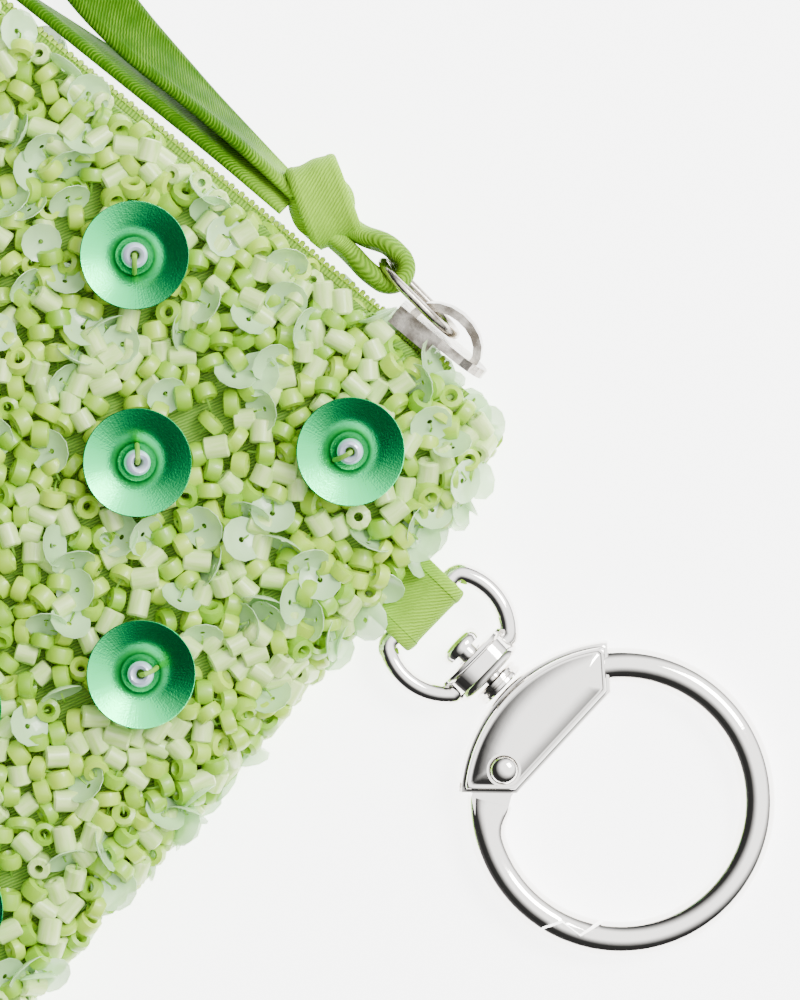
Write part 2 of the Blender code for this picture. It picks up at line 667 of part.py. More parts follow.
bmesh.ops.create_cone(bore, cap_ends=True, segments=16, radius1=SHANK_RADIUS + GAP,
                      radius2=SHANK_RADIUS + GAP, depth=2 * BARREL_LENGTH + EYE_WIRE)
bmesh.ops.rotate(bore, cent=(0.0, 0.0, 0.0), matrix=Matrix.Rotation(math.radians(90), 3, "Y"),
                 verts=bore.verts[:])
bmesh.ops.translate(bore, vec=(barrel_middle, 0.0, 0.0), verts=bore.verts[:])
bore_mesh = bpy.data.meshes.new("bore")
bore.to_mesh(bore_mesh)
bore.free()
join(eye, tool("eye_bore", bore_mesh, eye_axis), "DIFFERENCE")

# The swivel post: rivet head inside the eye, shank through the barrel, collar outside
head_start = BARREL_START - 2 * GAP - RIVET_THICKNESS
post_profile = [
    (0.0, collar_end),
    (COLLAR_RADIUS - GAP, collar_end),
    (COLLAR_RADIUS, collar_end - GAP),
    (COLLAR_RADIUS, barrel_end + 2 * GAP),
    (COLLAR_RADIUS - GAP, barrel_end + GAP),
    (SHANK_RADIUS, barrel_end + GAP),
    (SHANK_RADIUS, BARREL_START - 2 * GAP),
    (RIVET_RADIUS, BARREL_START - 2 * GAP),
    (RIVET_RADIUS, head_start + GAP),
    (RIVET_RADIUS - 2 * GAP, head_start),
    (0.0, head_start),
]
turned("swivel_post", post_profile, plated_metal, swivel_axis,
       Matrix.Rotation(math.radians(90), 4, "Y"), 16, closed=False)

# The ring's fixed part: three quarters of the ring, cast with the leaf-shaped housing.
# Angles are counted round the ring's centre from the clip's X axis.
LEAF_TIP_ANGLE = math.degrees(math.asin(LEAF_HALF_LENGTH / LEAF_OUTER_RADIUS))
RING_START = 180 - LEAF_TIP_ANGLE + 8
NOSE = ((0.0150, 282.2), (0.01367, 282.9), (0.0124, 288.0), (0.01295, 297.2), (0.0113, 305.5),
        (0.0095, 307.0))
CHEEK = ((0.0130, 216.0), (0.0130, 238.0), (0.0122, 244.0), (0.0112, 243.0), (0.0106, 236.0),
         (0.0101, 226.0), (0.0098, 216.0))
HOOK = ((0.0150, 278.2), (0.0135, 280.1), (0.01213, 285.5), (0.01261, 295.9), (0.0110, 299.8),
        (0.0095, 301.0))
leaf_outline = (
    arc((0.0, 0.0), LEAF_OUTER_RADIUS, 180 - LEAF_TIP_ANGLE, 180 + LEAF_TIP_ANGLE, 16)
    + [(-LEAF_INNER - GAP / 2, -LEAF_INNER_HALF), (-LEAF_INNER + GAP, 0.0),
       (-LEAF_INNER - GAP / 2, LEAF_INNER_HALF)])
ring = add("ring_frame", plate([leaf_outline], LEAF_THICKNESS), plated_metal, ring_axis)
rounding = ring.modifiers.new("leaf_rim", "BEVEL")
rounding.width = GAP
rounding.segments = 1
rounding.limit_method = "ANGLE"
rounding.angle_limit = math.radians(40)
ring_path = [(x, y, 0.0) for x, y in arc((0.0, 0.0), RING_RADIUS, RING_START, -84, 42)]
ring_wire = tool("ring_wire", wire(ring_path, RING_WIRE / 2), ring_axis)
cut_height = 2 * LEAF_THICKNESS
nose_cut = [polar(r, a) for r, a in NOSE] + [polar(0.0085, 300.0), polar(0.0085, 262.0),
                                             polar(0.0175, 262.0)]
nose_tool = tool("ring_nose_cut", plate([nose_cut], cut_height), ring_axis)
join(ring_wire, nose_tool, "DIFFERENCE")
join(ring, ring_wire, "UNION")

# The gate turns on a pin in the housing's slot. Its own frame sits on the pin.
pin_at = polar(LEAF_OUTER_RADIUS - GATE_PIN_FROM_RIM, GATE_PIN_AT_ANGLE)
gate_axis = empty("gate_axis", ring_axis, Matrix.Translation((*pin_at, 0.0)))
slot_reach = LEAF_OUTER_RADIUS
slot_outline = (arc((0.0, 0.0), GATE_BOSS + GAP, 20, 240, 12)
                + [(slot_reach * math.cos(math.radians(a)), slot_reach * math.sin(math.radians(a)))
                   for a in (240, 270, 300, 330, 360, 380)])
join(ring, tool("gate_slot", plate([slot_outline], GATE_SLOT), gate_axis), "DIFFERENCE")
pin_bore = plate([arc((0.0, 0.0), GATE_PIN_RADIUS + GAP, 0, 330, 11)], cut_height)
join(ring, tool("gate_pin_bore", pin_bore, gate_axis), "DIFFERENCE")
head_sink = 2 * GAP
sink_outline = arc((0.0, 0.0), GATE_PIN_HEAD + GAP, 0, 345, 23)
pin_sink = tool("gate_pin_sink", plate([sink_outline], 2 * head_sink), gate_axis,
                Matrix.Translation((0.0, 0.0, LEAF_THICKNESS / 2)))
join(ring, pin_sink, "DIFFERENCE")

gate_flare = [
    polar(0.0134, 215.0), polar(0.0134, 222.0), polar(0.0134, 229.0), polar(0.0133, 236.0),
    polar(0.0117, 241.0), polar(0.0108, 236.0), polar(0.0102, 223.5)]
gate_outline = (arc(pin_at, GATE_BOSS, -12, 218, 12) + gate_flare)
gate_root = plate([[(x - pin_at[0], y - pin_at[1]) for x, y in gate_outline],
                   arc((0.0, 0.0), GATE_PIN_RADIUS + GAP, 0, 330, 11)], GATE_ROOT_THICKNESS)
gate = add("gate", gate_root, plated_metal, gate_axis)
to_ring = Matrix.Translation((-pin_at[0], -pin_at[1], 0.0))
gate_path = [(x, y, 0.0) for x, y in arc((0.0, 0.0), RING_RADIUS, 217, 304, 18)]
gate_wire = tool("gate_wire", wire(gate_path, RING_WIRE / 2), gate_axis, to_ring)
gate_cheek = tool("gate_cheek", plate([[polar(r, a) for r, a in CHEEK]], GATE_CHEEK), gate_axis,
                  to_ring)
join(gate_wire, gate_cheek, "UNION")
leaf_tip = Vector(polar(LEAF_OUTER_RADIUS, 180 + LEAF_TIP_ANGLE))
leaf_corner = Vector((-LEAF_INNER, -LEAF_INNER_HALF))
leaf_end = (leaf_corner - leaf_tip).normalized()
leaf_out = Vector((leaf_end.y, -leaf_end.x))
start_cut = [leaf_tip - leaf_end * RING_WIRE + leaf_out * GAP,
             leaf_corner + leaf_end * RING_WIRE + leaf_out * GATE_INNER_CLEARANCE]
start_cut += [start_cut[1] - leaf_out * LEAF_OUTER_RADIUS,
              start_cut[0] - leaf_out * LEAF_OUTER_RADIUS]
start_tool = tool("gate_start_cut", plate([[tuple(point) for point in start_cut]], cut_height),
                  gate_axis, to_ring)
join(gate_wire, start_tool, "DIFFERENCE")
hook_cut = [polar(r, a) for r, a in HOOK] + [polar(0.0085, 312.0), polar(0.0175, 312.0),
                                             polar(0.0175, 279.0)]
hook_tool = tool("gate_hook_cut", plate([hook_cut], cut_height), gate_axis, to_ring)
join(gate_wire, hook_tool, "DIFFERENCE")
join(gate, gate_wire, "UNION")

leaf_face = LEAF_THICKNESS / 2
head_base = leaf_face - head_sink + GAP
pin_profile = [
    (0.0, head_base + GATE_PIN_HEAD * 0.5),
    (GATE_PIN_HEAD * 0.5, head_base + GATE_PIN_HEAD * 0.42),
    (GATE_PIN_HEAD * 0.87, head_base + GATE_PIN_HEAD * 0.24),
    (GATE_PIN_HEAD, head_base),
    (GATE_PIN_RADIUS, head_base),
    (GATE_PIN_RADIUS, -leaf_face + GAP / 2),
    (0.0, -leaf_face + GAP / 2),
]
turned("gate_pin", pin_profile, plated_metal, gate_axis, Matrix.Identity(4), 12, closed=False)

# The large sequins lie on the bead bed in offset rows, each held by its stop bead
cup_profile = [(CUP_HOLE, CUP_SHEET), (CUP_WELL_RADIUS, CUP_SHEET),
               (CUP_RADIUS, CUP_DEPTH + CUP_SHEET), (CUP_RADIUS, CUP_DEPTH),
               (CUP_WELL_RADIUS, 0.0), (CUP_HOLE, 0.0)]
stop_profile = [(STOP_HOLE, STOP_HEIGHT * 0.5), (STOP_RADIUS * 0.84, STOP_HEIGHT * 0.42),
                (STOP_RADIUS * 0.84, -STOP_HEIGHT * 0.42), (STOP_HOLE, -STOP_HEIGHT * 0.5)]


def front_place(x, y):
    """Where a sequin sits on the front, leaning as the front does."""
    across = (x - pouch_centre) / (POUCH_WIDTH / 2)
    down = (-ZIP_INSET - y) / POUCH_HEIGHT
    step = 0.02
    rise_x = (front_outer(across + step, down) - front_outer(across - step, down)) / (
        step * POUCH_WIDTH)
    rise_y = (front_outer(across, down - step) - front_outer(across, down + step)) / (
        2 * step * POUCH_HEIGHT)
    normal = Vector((-rise_x, -rise_y, 1.0)).normalized()
    lean = Vector((0.0, 0.0, 1.0)).rotation_difference(normal).to_matrix().to_4x4()
    lift = GAP + CUP_WELL_RADIUS * 0.08
    return Matrix.Translation(Vector((x, y, front_outer(across, down))) + normal * lift) @ lean


shifts = {(row["row"], row["column"]): (row["along"], row["down"]) for row in CUP_SHIFTS}
number = 0
for row, count in enumerate(CUP_ROWS):
    for column in range(count):
        number += 1
        wobble = (CUP_WOBBLE * math.sin(2.1 * number), CUP_WOBBLE * math.cos(3.7 * number))
        along, down = shifts.get((row, column), wobble)
        x = pouch_centre + CUP_PITCH * ((count - 1) / 2 - column - along)
        y = -ZIP_INSET - CUP_FROM_ZIP - CUP_ROW_PITCH * (row + down)
        place = front_place(x, y)
        seat = Matrix.Translation((0.0, 0.0, CUP_SHEET + GAP + STOP_HEIGHT / 2))
        turned(f"cup_{number:02d}", cup_profile, foil, frame, place, 14, closed=True)
        turned(f"stop_bead_{number:02d}", stop_profile, pearl, frame, place @ seat, 10,
               closed=True)

# Stand the whole object on the origin
bpy.context.view_layer.update()
graph = bpy.context.evaluated_depsgraph_get()
corners = []
for piece in pouch.objects:
    if piece.type == "MESH":
        made = piece.evaluated_get(graph)
        corners += [piece.matrix_world @ vert.co for vert in made.data.vertices]
low = [min(corner[axis] for corner in corners) for axis in range(3)]
high = [max(corner[axis] for corner in corners) for axis in range(3)]
frame.location = (-(low[0] + high[0]) / 2, -(low[1] + high[1]) / 2, -low[2])
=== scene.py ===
"""Looks of the beaded zip pouch with its satin strap and swivelling ring clip."""

import math

import bmesh
import bpy
import numpy as np
from mathutils import Matrix, Vector
from mathutils.bvhtree import BVHTree


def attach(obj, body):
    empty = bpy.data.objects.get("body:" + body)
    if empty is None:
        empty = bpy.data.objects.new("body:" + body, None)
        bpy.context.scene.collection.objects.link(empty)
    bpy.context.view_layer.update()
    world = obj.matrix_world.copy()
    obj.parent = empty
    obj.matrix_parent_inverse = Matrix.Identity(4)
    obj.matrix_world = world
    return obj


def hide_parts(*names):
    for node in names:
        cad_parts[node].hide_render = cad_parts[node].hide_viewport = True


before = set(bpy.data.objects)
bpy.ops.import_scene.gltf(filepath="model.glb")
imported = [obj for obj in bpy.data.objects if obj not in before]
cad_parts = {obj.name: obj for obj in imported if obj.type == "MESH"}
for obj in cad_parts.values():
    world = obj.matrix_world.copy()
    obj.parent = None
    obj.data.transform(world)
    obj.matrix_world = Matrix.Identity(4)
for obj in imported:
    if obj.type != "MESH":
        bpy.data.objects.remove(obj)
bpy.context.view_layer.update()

# Camera and floor. The picture looks straight down on the pouch, turned by about forty
# degrees. Places are given in millimetres from the zip edge at the slider's nose, with X
# along the zip and Y out of it.
NOSE = Vector((0.02413, 0.03149, 0.00001))


def at(x, y, z=0.0):
    """A place in millimetres from the slider's nose, as a place in the model in metres."""
    return Vector((x, y, z)) * 0.001 + NOSE


picture_right = Vector((0.775, 0.632, 0.0)).normalized()
picture_up = Vector((-0.632, 0.775, 0.0)).normalized()
picture_middle = (1.6, -13.0)
pouch_middle_height = 4.0
camera_height = 0.9
picture_height = 0.0926
camera = bpy.data.objects.new("camera", bpy.data.cameras.new("camera"))
bpy.context.scene.collection.objects.link(camera)
sensor_width = 36
camera.data.sensor_width = sensor_width
camera.data.lens = sensor_width * camera_height / picture_height
camera.data.clip_start = 0.01
camera.data.clip_end = 10
seen_from = at(*picture_middle, pouch_middle_height) + Vector((0.0, 0.0, camera_height))
camera.matrix_world = Matrix((
    (picture_right.x, picture_up.x, 0.0, seen_from.x),
    (picture_right.y, picture_up.y, 0.0, seen_from.y),
    (0.0, 0.0, 1.0, seen_from.z),
    (0.0, 0.0, 0.0, 1.0)))
bpy.context.scene.camera = camera


def node(tree, kind, sockets=None, **settings):
    """Add a shader node, whose sockets take values or other nodes' outputs."""
    made = tree.nodes.new(kind)
    for key, value in settings.items():
        setattr(made, key, value)
    for key, value in (sockets or {}).items():
        if isinstance(value, bpy.types.NodeSocket):
            tree.links.new(value, made.inputs[key])
        else:
            made.inputs[key].default_value = value
    return made


def material(name, sockets):
    """A Principled material with these values on the shader's own sockets."""
    made = bpy.data.materials.new(name)
    made.use_nodes = True
    shader = made.node_tree.nodes["Principled BSDF"]
    for key, value in sockets.items():
        shader.inputs[key].default_value = value
    return made, made.node_tree, shader


def hue(red, green, blue):
    """A screen colour from 0 to 255 as the linear colour that shaders take."""
    parts = []
    for part in (red, green, blue):
        share = part / 255
        parts.append(share / 12.92 if share <= 0.04045 else ((share + 0.055) / 1.055) ** 2.4)
    return (*parts, 1.0)


def into_mesh(shape, name):
    """Turn a bmesh into a mesh of this name and free it."""
    mesh = bpy.data.meshes.new(name)
    shape.to_mesh(mesh)
    shape.free()
    return mesh


floor_half_width = 1.5
floor_drop = 0.00005
floor_shape = bmesh.new()
bmesh.ops.create_grid(floor_shape, x_segments=1, y_segments=1, size=floor_half_width)
floor_mesh = into_mesh(floor_shape, "floor")
floor = bpy.data.objects.new("floor", floor_mesh)
floor.location.z = -floor_drop
bpy.context.scene.collection.objects.link(floor)
paper = material("paper", {
    "Base Color": hue(246, 246, 246), "Roughness": 0.9, "Emission Color": (1.0, 1.0, 1.0, 1.0),
    "Emission Strength": 4.5})[0]
floor_mesh.materials.append(paper)

# Light. A wide soft box stands to the picture's upper right. The room is bright overhead
# and on that side, and dim low down on the other, which draws the dark bands in the
# plated metal and the dark sectors in the foil.


def ramp(tree, value, stops):
    """The colour output of a ramp over a value, with stops of position and colour."""
    made = node(tree, "ShaderNodeValToRGB", {"Fac": value})
    points = made.color_ramp.elements
    points[0].position, points[0].color = stops[0]
    points[1].position, points[1].color = stops[-1]
    for position, colour in stops[1:-1]:
        points.new(position).color = colour
    return made.outputs["Color"]


world = bpy.data.worlds.new("studio")
bpy.context.scene.world = world
world.use_nodes = True
room = world.node_tree
room_way = node(room, "ShaderNodeTexCoord")
room_side = picture_right * 0.55 + picture_up * 0.3 + Vector((0.0, 0.0, 1.0))
room_share = node(room, "ShaderNodeVectorMath", {
    0: room_way.outputs["Generated"], 1: tuple(room_side)}, operation="DOT_PRODUCT")
room_range = node(room, "ShaderNodeMapRange", {
    "Value": room_share.outputs["Value"], "From Min": -0.7, "From Max": 1.2})
room_levels = ((0.04, 0.09), (0.2, 0.03), (0.3, 0.01), (0.6, 0.014), (0.7, 0.12), (0.78, 0.36),
               (0.88, 1.0))
room_colour = ramp(room, room_range.outputs["Result"], [
    (position, (level, level, level, 1.0)) for position, level in room_levels])
room_light = room.nodes["Background"]
room_light.inputs["Strength"].default_value = 3.4
room.links.new(room_colour, room_light.inputs["Color"])


def soft_box(name, way, distance, size, power):
    """A square area light that faces the pouch's middle."""
    light = bpy.data.lights.new(name, "AREA")
    light.size = size
    light.energy = power
    lamp = bpy.data.objects.new(name, light)
    bpy.context.scene.collection.objects.link(lamp)
    middle = at(*picture_middle)
    lamp.location = middle + Vector(way).normalized() * distance
    lamp.rotation_euler = (middle - lamp.location).to_track_quat("-Z", "Y").to_euler()


key_way = picture_right * 0.8 + picture_up * 0.55 + Vector((0, 0, 1.3))
soft_box("key_light", key_way, distance=0.8, size=0.3, power=7.0)


SHARP_EDGE = math.radians(42)


def link(name, mesh, body, finish):
    """Add a piece that rides on a body and takes its finish from a slot."""
    piece = bpy.data.objects.new(name, mesh)
    bpy.context.scene.collection.objects.link(piece)
    mesh.materials.clear()
    mesh.materials.append(finish)
    mesh.shade_smooth()
    mesh.set_sharp_from_angle(angle=SHARP_EDGE)
    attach(piece, body)
    return piece


# Panels. Each is a green twill cloth that the beads are sewn to. The cloth lies under
# the bead bed, and its edges turn over at the side and bottom seams.
BED_DEPTH = 0.0021
MOUTH_EDGE = 0.0295
LEAST_OUTWARD = -0.35
WELD = 0.00001


def paint(tree, shader, value, stops):
    """Colour a finish by a ramp over a pattern."""
    tree.links.new(ramp(tree, value, stops), shader.inputs["Base Color"])


def relief(tree, shader, height, strength, distance):
    """Give a finish the relief of a pattern, this many metres deep."""
    bump = node(tree, "ShaderNodeBump", {
        "Strength": strength, "Distance": distance, "Height": height})
    tree.links.new(bump.outputs["Normal"], shader.inputs["Normal"])


ground, ground_tree, ground_shader = material("ground_cloth", {"Roughness": 0.75})
ground_where = node(ground_tree, "ShaderNodeTexCoord")
ground_turn = node(ground_tree, "ShaderNodeMapping", {
    "Vector": ground_where.outputs["Object"], "Rotation": (0, 0, math.radians(28))})
ground_lines = node(ground_tree, "ShaderNodeTexWave", {
    "Vector": ground_turn.outputs["Vector"], "Scale": 1100.0, "Distortion": 1.2,
    "Detail": 1.0, "Detail Scale": 2.0})
paint(ground_tree, ground_shader, ground_lines.outputs["Fac"],
      ((0.0, hue(84, 128, 24)), (1.0, hue(124, 170, 46))))
relief(ground_tree, ground_shader, ground_lines.outputs["Fac"], 0.6, 0.0001)
panel_trees = {}
panel_samples = {}
for name, up in (("front_panel", 1), ("back_panel", -1)):
    panel_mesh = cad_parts[name].data.copy()
    shape = bmesh.new()
    shape.from_mesh(panel_mesh)
    bmesh.ops.remove_doubles(shape, verts=shape.verts[:], dist=WELD)
    bmesh.ops.recalc_face_normals(shape, faces=shape.faces[:])
    shape.normal_update()
    outer = [face for face in shape.faces if face.normal.z * up > LEAST_OUTWARD]
    outside = bmesh.new()
    outside_verts = {}
    for face in outer:
        corners = []
        for vert in face.verts:
            if vert not in outside_verts:
                outside_verts[vert] = outside.verts.new(vert.co)
            corners.append(outside_verts[vert])
        outside.faces.new(corners)
    bmesh.ops.triangulate(outside, faces=outside.faces[:])
    outside.normal_update()
    panel_trees[name] = BVHTree.FromBMesh(outside)
    panel_samples[name] = [([np.array(vert.co) for vert in face.verts], face.calc_area())
                           for face in outside.faces]
    outside.free()
    inward = {}
    for face in outer:
        for vert in face.verts:
            inward[vert] = inward.get(vert, Vector()) + face.normal * face.calc_area()
    for vert, way in inward.items():
        if vert.co.y > MOUTH_EDGE:
            vert.co.z -= up * BED_DEPTH * 0.5 * max(0.0, up * way.normalized().z)
        else:
            vert.co -= way.normalized() * BED_DEPTH
    shape.to_mesh(panel_mesh)
    shape.free()
    cloth = link(name.replace("panel", "cloth"), panel_mesh, "pouch", ground)
    rounding = cloth.modifiers.new("rounding", "SUBSURF")
    rounding.levels = 1
    rounding.render_levels = 1
    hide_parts(name)

# Bead bed. Glass seed beads, cut satin tubes and small cupped sequins are sewn at every
# angle, close enough to hide most of the cloth, and they wrap round the side edges.
# Each kind is one joined mesh a side; the beads settle against each other first.


def turned(profile, segments):
    """A closed profile of radius and height, spun into a mesh with a wrapped UV map."""
    shape = bmesh.new()
    verts = [shape.verts.new((radius, 0.0, height)) for radius, height in profile]
    edges = [shape.edges.new((verts[index - 1], verts[index])) for index in range(len(verts))]
    bmesh.ops.spin(shape, geom=verts + edges, cent=(0, 0, 0), axis=(0, 0, 1),
                   angle=2 * math.pi, steps=segments, use_merge=True, use_duplicate=False)
    bmesh.ops.remove_doubles(shape, verts=shape.verts[:], dist=1e-7)
    bmesh.ops.recalc_face_normals(shape, faces=shape.faces[:])
    wrap = shape.loops.layers.uv.new("wrap")
    for face in shape.faces:
        middle = face.calc_center_median()
        centre = math.atan2(middle.y, middle.x)
        for loop in face.loops:
            turn = math.atan2(loop.vert.co.y, loop.vert.co.x) - centre
            turn = (turn + math.pi) % (2 * math.pi) - math.pi
            loop[wrap].uv = ((centre + turn) / (2 * math.pi), loop.vert.co.z * 1000)
    return into_mesh(shape, "turned")


def copies(name, base, places, tints):
    """One mesh with the base at each place, and each copy's tint as an attribute."""
    points = np.empty(len(base.vertices) * 3, dtype=np.float32)
    base.vertices.foreach_get("co", points)
    points = points.reshape(-1, 3)
    places = np.array(places)
    placed = np.einsum("nij,vj->nvi", places[:, :3, :3], points) + places[:, None, :3, 3]
    corners = np.empty(len(base.loops), dtype=np.int32)
    base.loops.foreach_get("vertex_index", corners)
    starts = np.empty(len(base.polygons), dtype=np.int32)
    base.polygons.foreach_get("loop_start", starts)
    count = len(places)
    step = np.arange(count, dtype=np.int32)[:, None]
    mesh = bpy.data.meshes.new(name)
    mesh.vertices.add(count * len(points))
    mesh.loops.add(count * len(corners))
    mesh.polygons.add(count * len(starts))
    mesh.vertices.foreach_set("co", placed.astype(np.float32).ravel())
    mesh.loops.foreach_set("vertex_index", (corners[None, :] + step * len(points)).ravel())
    mesh.polygons.foreach_set("loop_start", (starts[None, :] + step * len(corners)).ravel())
    if base.uv_layers:
        wrap = np.empty(len(corners) * 2, dtype=np.float32)
        base.uv_layers[0].uv.foreach_get("vector", wrap)
        mesh.uv_layers.new(name="wrap").uv.foreach_set("vector", np.tile(wrap, count))
    tone_and_painted_light = mesh.attributes.new("tone_and_painted_light", "FLOAT", "POINT")
    tone_and_painted_light.data.foreach_set("value", np.repeat(np.asarray(tints, np.float32), len(points)))
    mesh.update(calc_edges=True)
    mesh.validate()
    return mesh


def bead_spots(name, spacing, count, seed):
    """Spread points over a panel's outside at least the spacing apart."""
    rng = np.random.default_rng(seed)
    faces = panel_samples[name]
    areas = np.array([area for corners, area in faces])
    chosen = rng.choice(len(faces), size=count, p=areas / areas.sum())
    shares = rng.random((count, 2))
    flip = shares.sum(axis=1) > 1
    shares[flip] = 1 - shares[flip]
    corner = np.array([faces[index][0] for index in chosen])
    spots = (corner[:, 0] + shares[:, :1] * (corner[:, 1] - corner[:, 0])
             + shares[:, 1:] * (corner[:, 2] - corner[:, 0]))
    cells = {}
    kept = []
    for index, spot in enumerate(spots):
        cell = tuple((spot // spacing).astype(int))
        near = [other for dx in (-1, 0, 1) for dy in (-1, 0, 1) for dz in (-1, 0, 1)
                for other in cells.get((cell[0] + dx, cell[1] + dy, cell[2] + dz), ())]
        if all(((spots[other] - spot) ** 2).sum() > spacing ** 2 for other in near):
            cells.setdefault(cell, []).append(index)
            kept.append(index)
    return spots[kept], rng


def settle(name, spots, depths, radii, rounds):
    """Push beads apart along the panel until they hardly cross each other."""
    tree = panel_trees[name]
    give = 0.35
    seats = spots.copy()
    normals = np.zeros_like(seats)
    for turn in range(rounds):
        for index in range(len(seats)):
            where, normal = tree.find_nearest(Vector(seats[index]))[:2]
            seats[index] = where
            normals[index] = normal
        places = seats - normals * depths[:, None]
        away = places[:, None, :] - places[None, :, :]
        far = np.sqrt((away ** 2).sum(axis=2)) + np.eye(len(places))
        reach = radii[:, None] + radii[None, :]
        push = np.clip(reach - far, 0, None) / far * (1 - np.eye(len(places)))
        seats += (away * push[:, :, None]).sum(axis=1) * give
    return places, normals


def turn_to(axis, normal, spin, scale, place):
    """A matrix that lays a piece's Z along the axis, at the place."""
    axis = axis / np.linalg.norm(axis)
    side = np.cross(axis, normal if abs(axis @ normal) < 0.95 else np.array([1.0, 0.3, 0.2]))
    side /= np.linalg.norm(side)
    other = np.cross(axis, side)
    first = side * math.cos(spin) + other * math.sin(spin)
    second = np.cross(axis, first)
    matrix = np.eye(4)
    matrix[:3, 0] = first * scale[0]
    matrix[:3, 1] = second * scale[1]
    matrix[:3, 2] = axis * scale[2]
    matrix[:3, 3] = place
    return matrix


seed_bead, seed_tree, seed_shader = material("seed_bead", {
    "Roughness": 0.36, "Coat Weight": 0.3, "Coat Roughness": 0.12})
seed_tint = node(seed_tree, "ShaderNodeAttribute", attribute_name="tone_and_painted_light")
paint(seed_tree, seed_shader, seed_tint.outputs["Fac"],
      ((0.0, hue(128, 182, 20)), (1.0, hue(180, 216, 60))))

cut_bead, cut_tree, cut_shader = material("cut_bead", {
    "Roughness": 0.34, "Coat Weight": 0.25, "Coat Roughness": 0.1})
cut_wrap = node(cut_tree, "ShaderNodeUVMap", uv_map="wrap")
cut_stretch = node(cut_tree, "ShaderNodeMapping", {
    "Vector": cut_wrap.outputs["UV"], "Scale": (14.0, 0.4, 1.0)})
cut_tint = node(cut_tree, "ShaderNodeAttribute", attribute_name="tone_and_painted_light")
cut_shift = node(cut_tree, "ShaderNodeMath", {0: cut_tint.outputs["Fac"], 1: 90.0},
                 operation="MULTIPLY")
cut_streaks = node(cut_tree, "ShaderNodeTexNoise", {
    "Vector": cut_stretch.outputs["Vector"], "W": cut_shift.outputs["Value"], "Scale": 1.0,
    "Detail": 2.0}, noise_dimensions="4D")
paint(cut_tree, cut_shader, cut_streaks.outputs["Fac"],
      ((0.3, hue(176, 218, 98)), (0.7, hue(214, 236, 156))))

sequin_finish = material("small_sequin", {
    "Base Color": hue(204, 244, 180), "Roughness": 0.22, "Alpha": 0.62, "Coat Weight": 0.5,
    "Coat Roughness": 0.08})[0]
thread_finish = material("bead_thread", {"Base Color": hue(120, 172, 44), "Roughness": 0.6})[0]


def swell(value, power):
    """A sine or cosine made fuller or leaner, with its sign kept."""
    return math.copysign(abs(value) ** power, value)


def seed_profile(steps):
    """The rounded section of a seed bead, from its hole outwards."""
    middle_radius, half_wall, half_length = 0.0008, 0.00046, 0.0008
    points = []
    for step in range(steps):
        turn = math.radians(360 * step / steps)
        points.append((middle_radius + half_wall * swell(math.cos(turn), 0.8),
                       half_length * math.sin(turn)))
    return points


def cut_profile(half, outer, hole):
    """The section of a tube cut from cane, with hardly rounded edges."""
    return [(hole, -half), (outer - 0.00018, -half), (outer, -half + 0.00016),
            (outer, half - 0.00016), (outer - 0.00018, half), (hole, half)]


CUPS = range(1, 19)
cup_middles = np.array([
    np.mean([vert.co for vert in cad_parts[f"cup_{number:02d}"].data.vertices], axis=0)
    for number in CUPS])
small_sequin_profile = [(0.00026, 0.0), (0.0012, 0.00005), (0.002, 0.00045), (0.00203, 0.0005),
                        (0.002, 0.00055), (0.0012, 0.00015), (0.00026, 0.0001)]

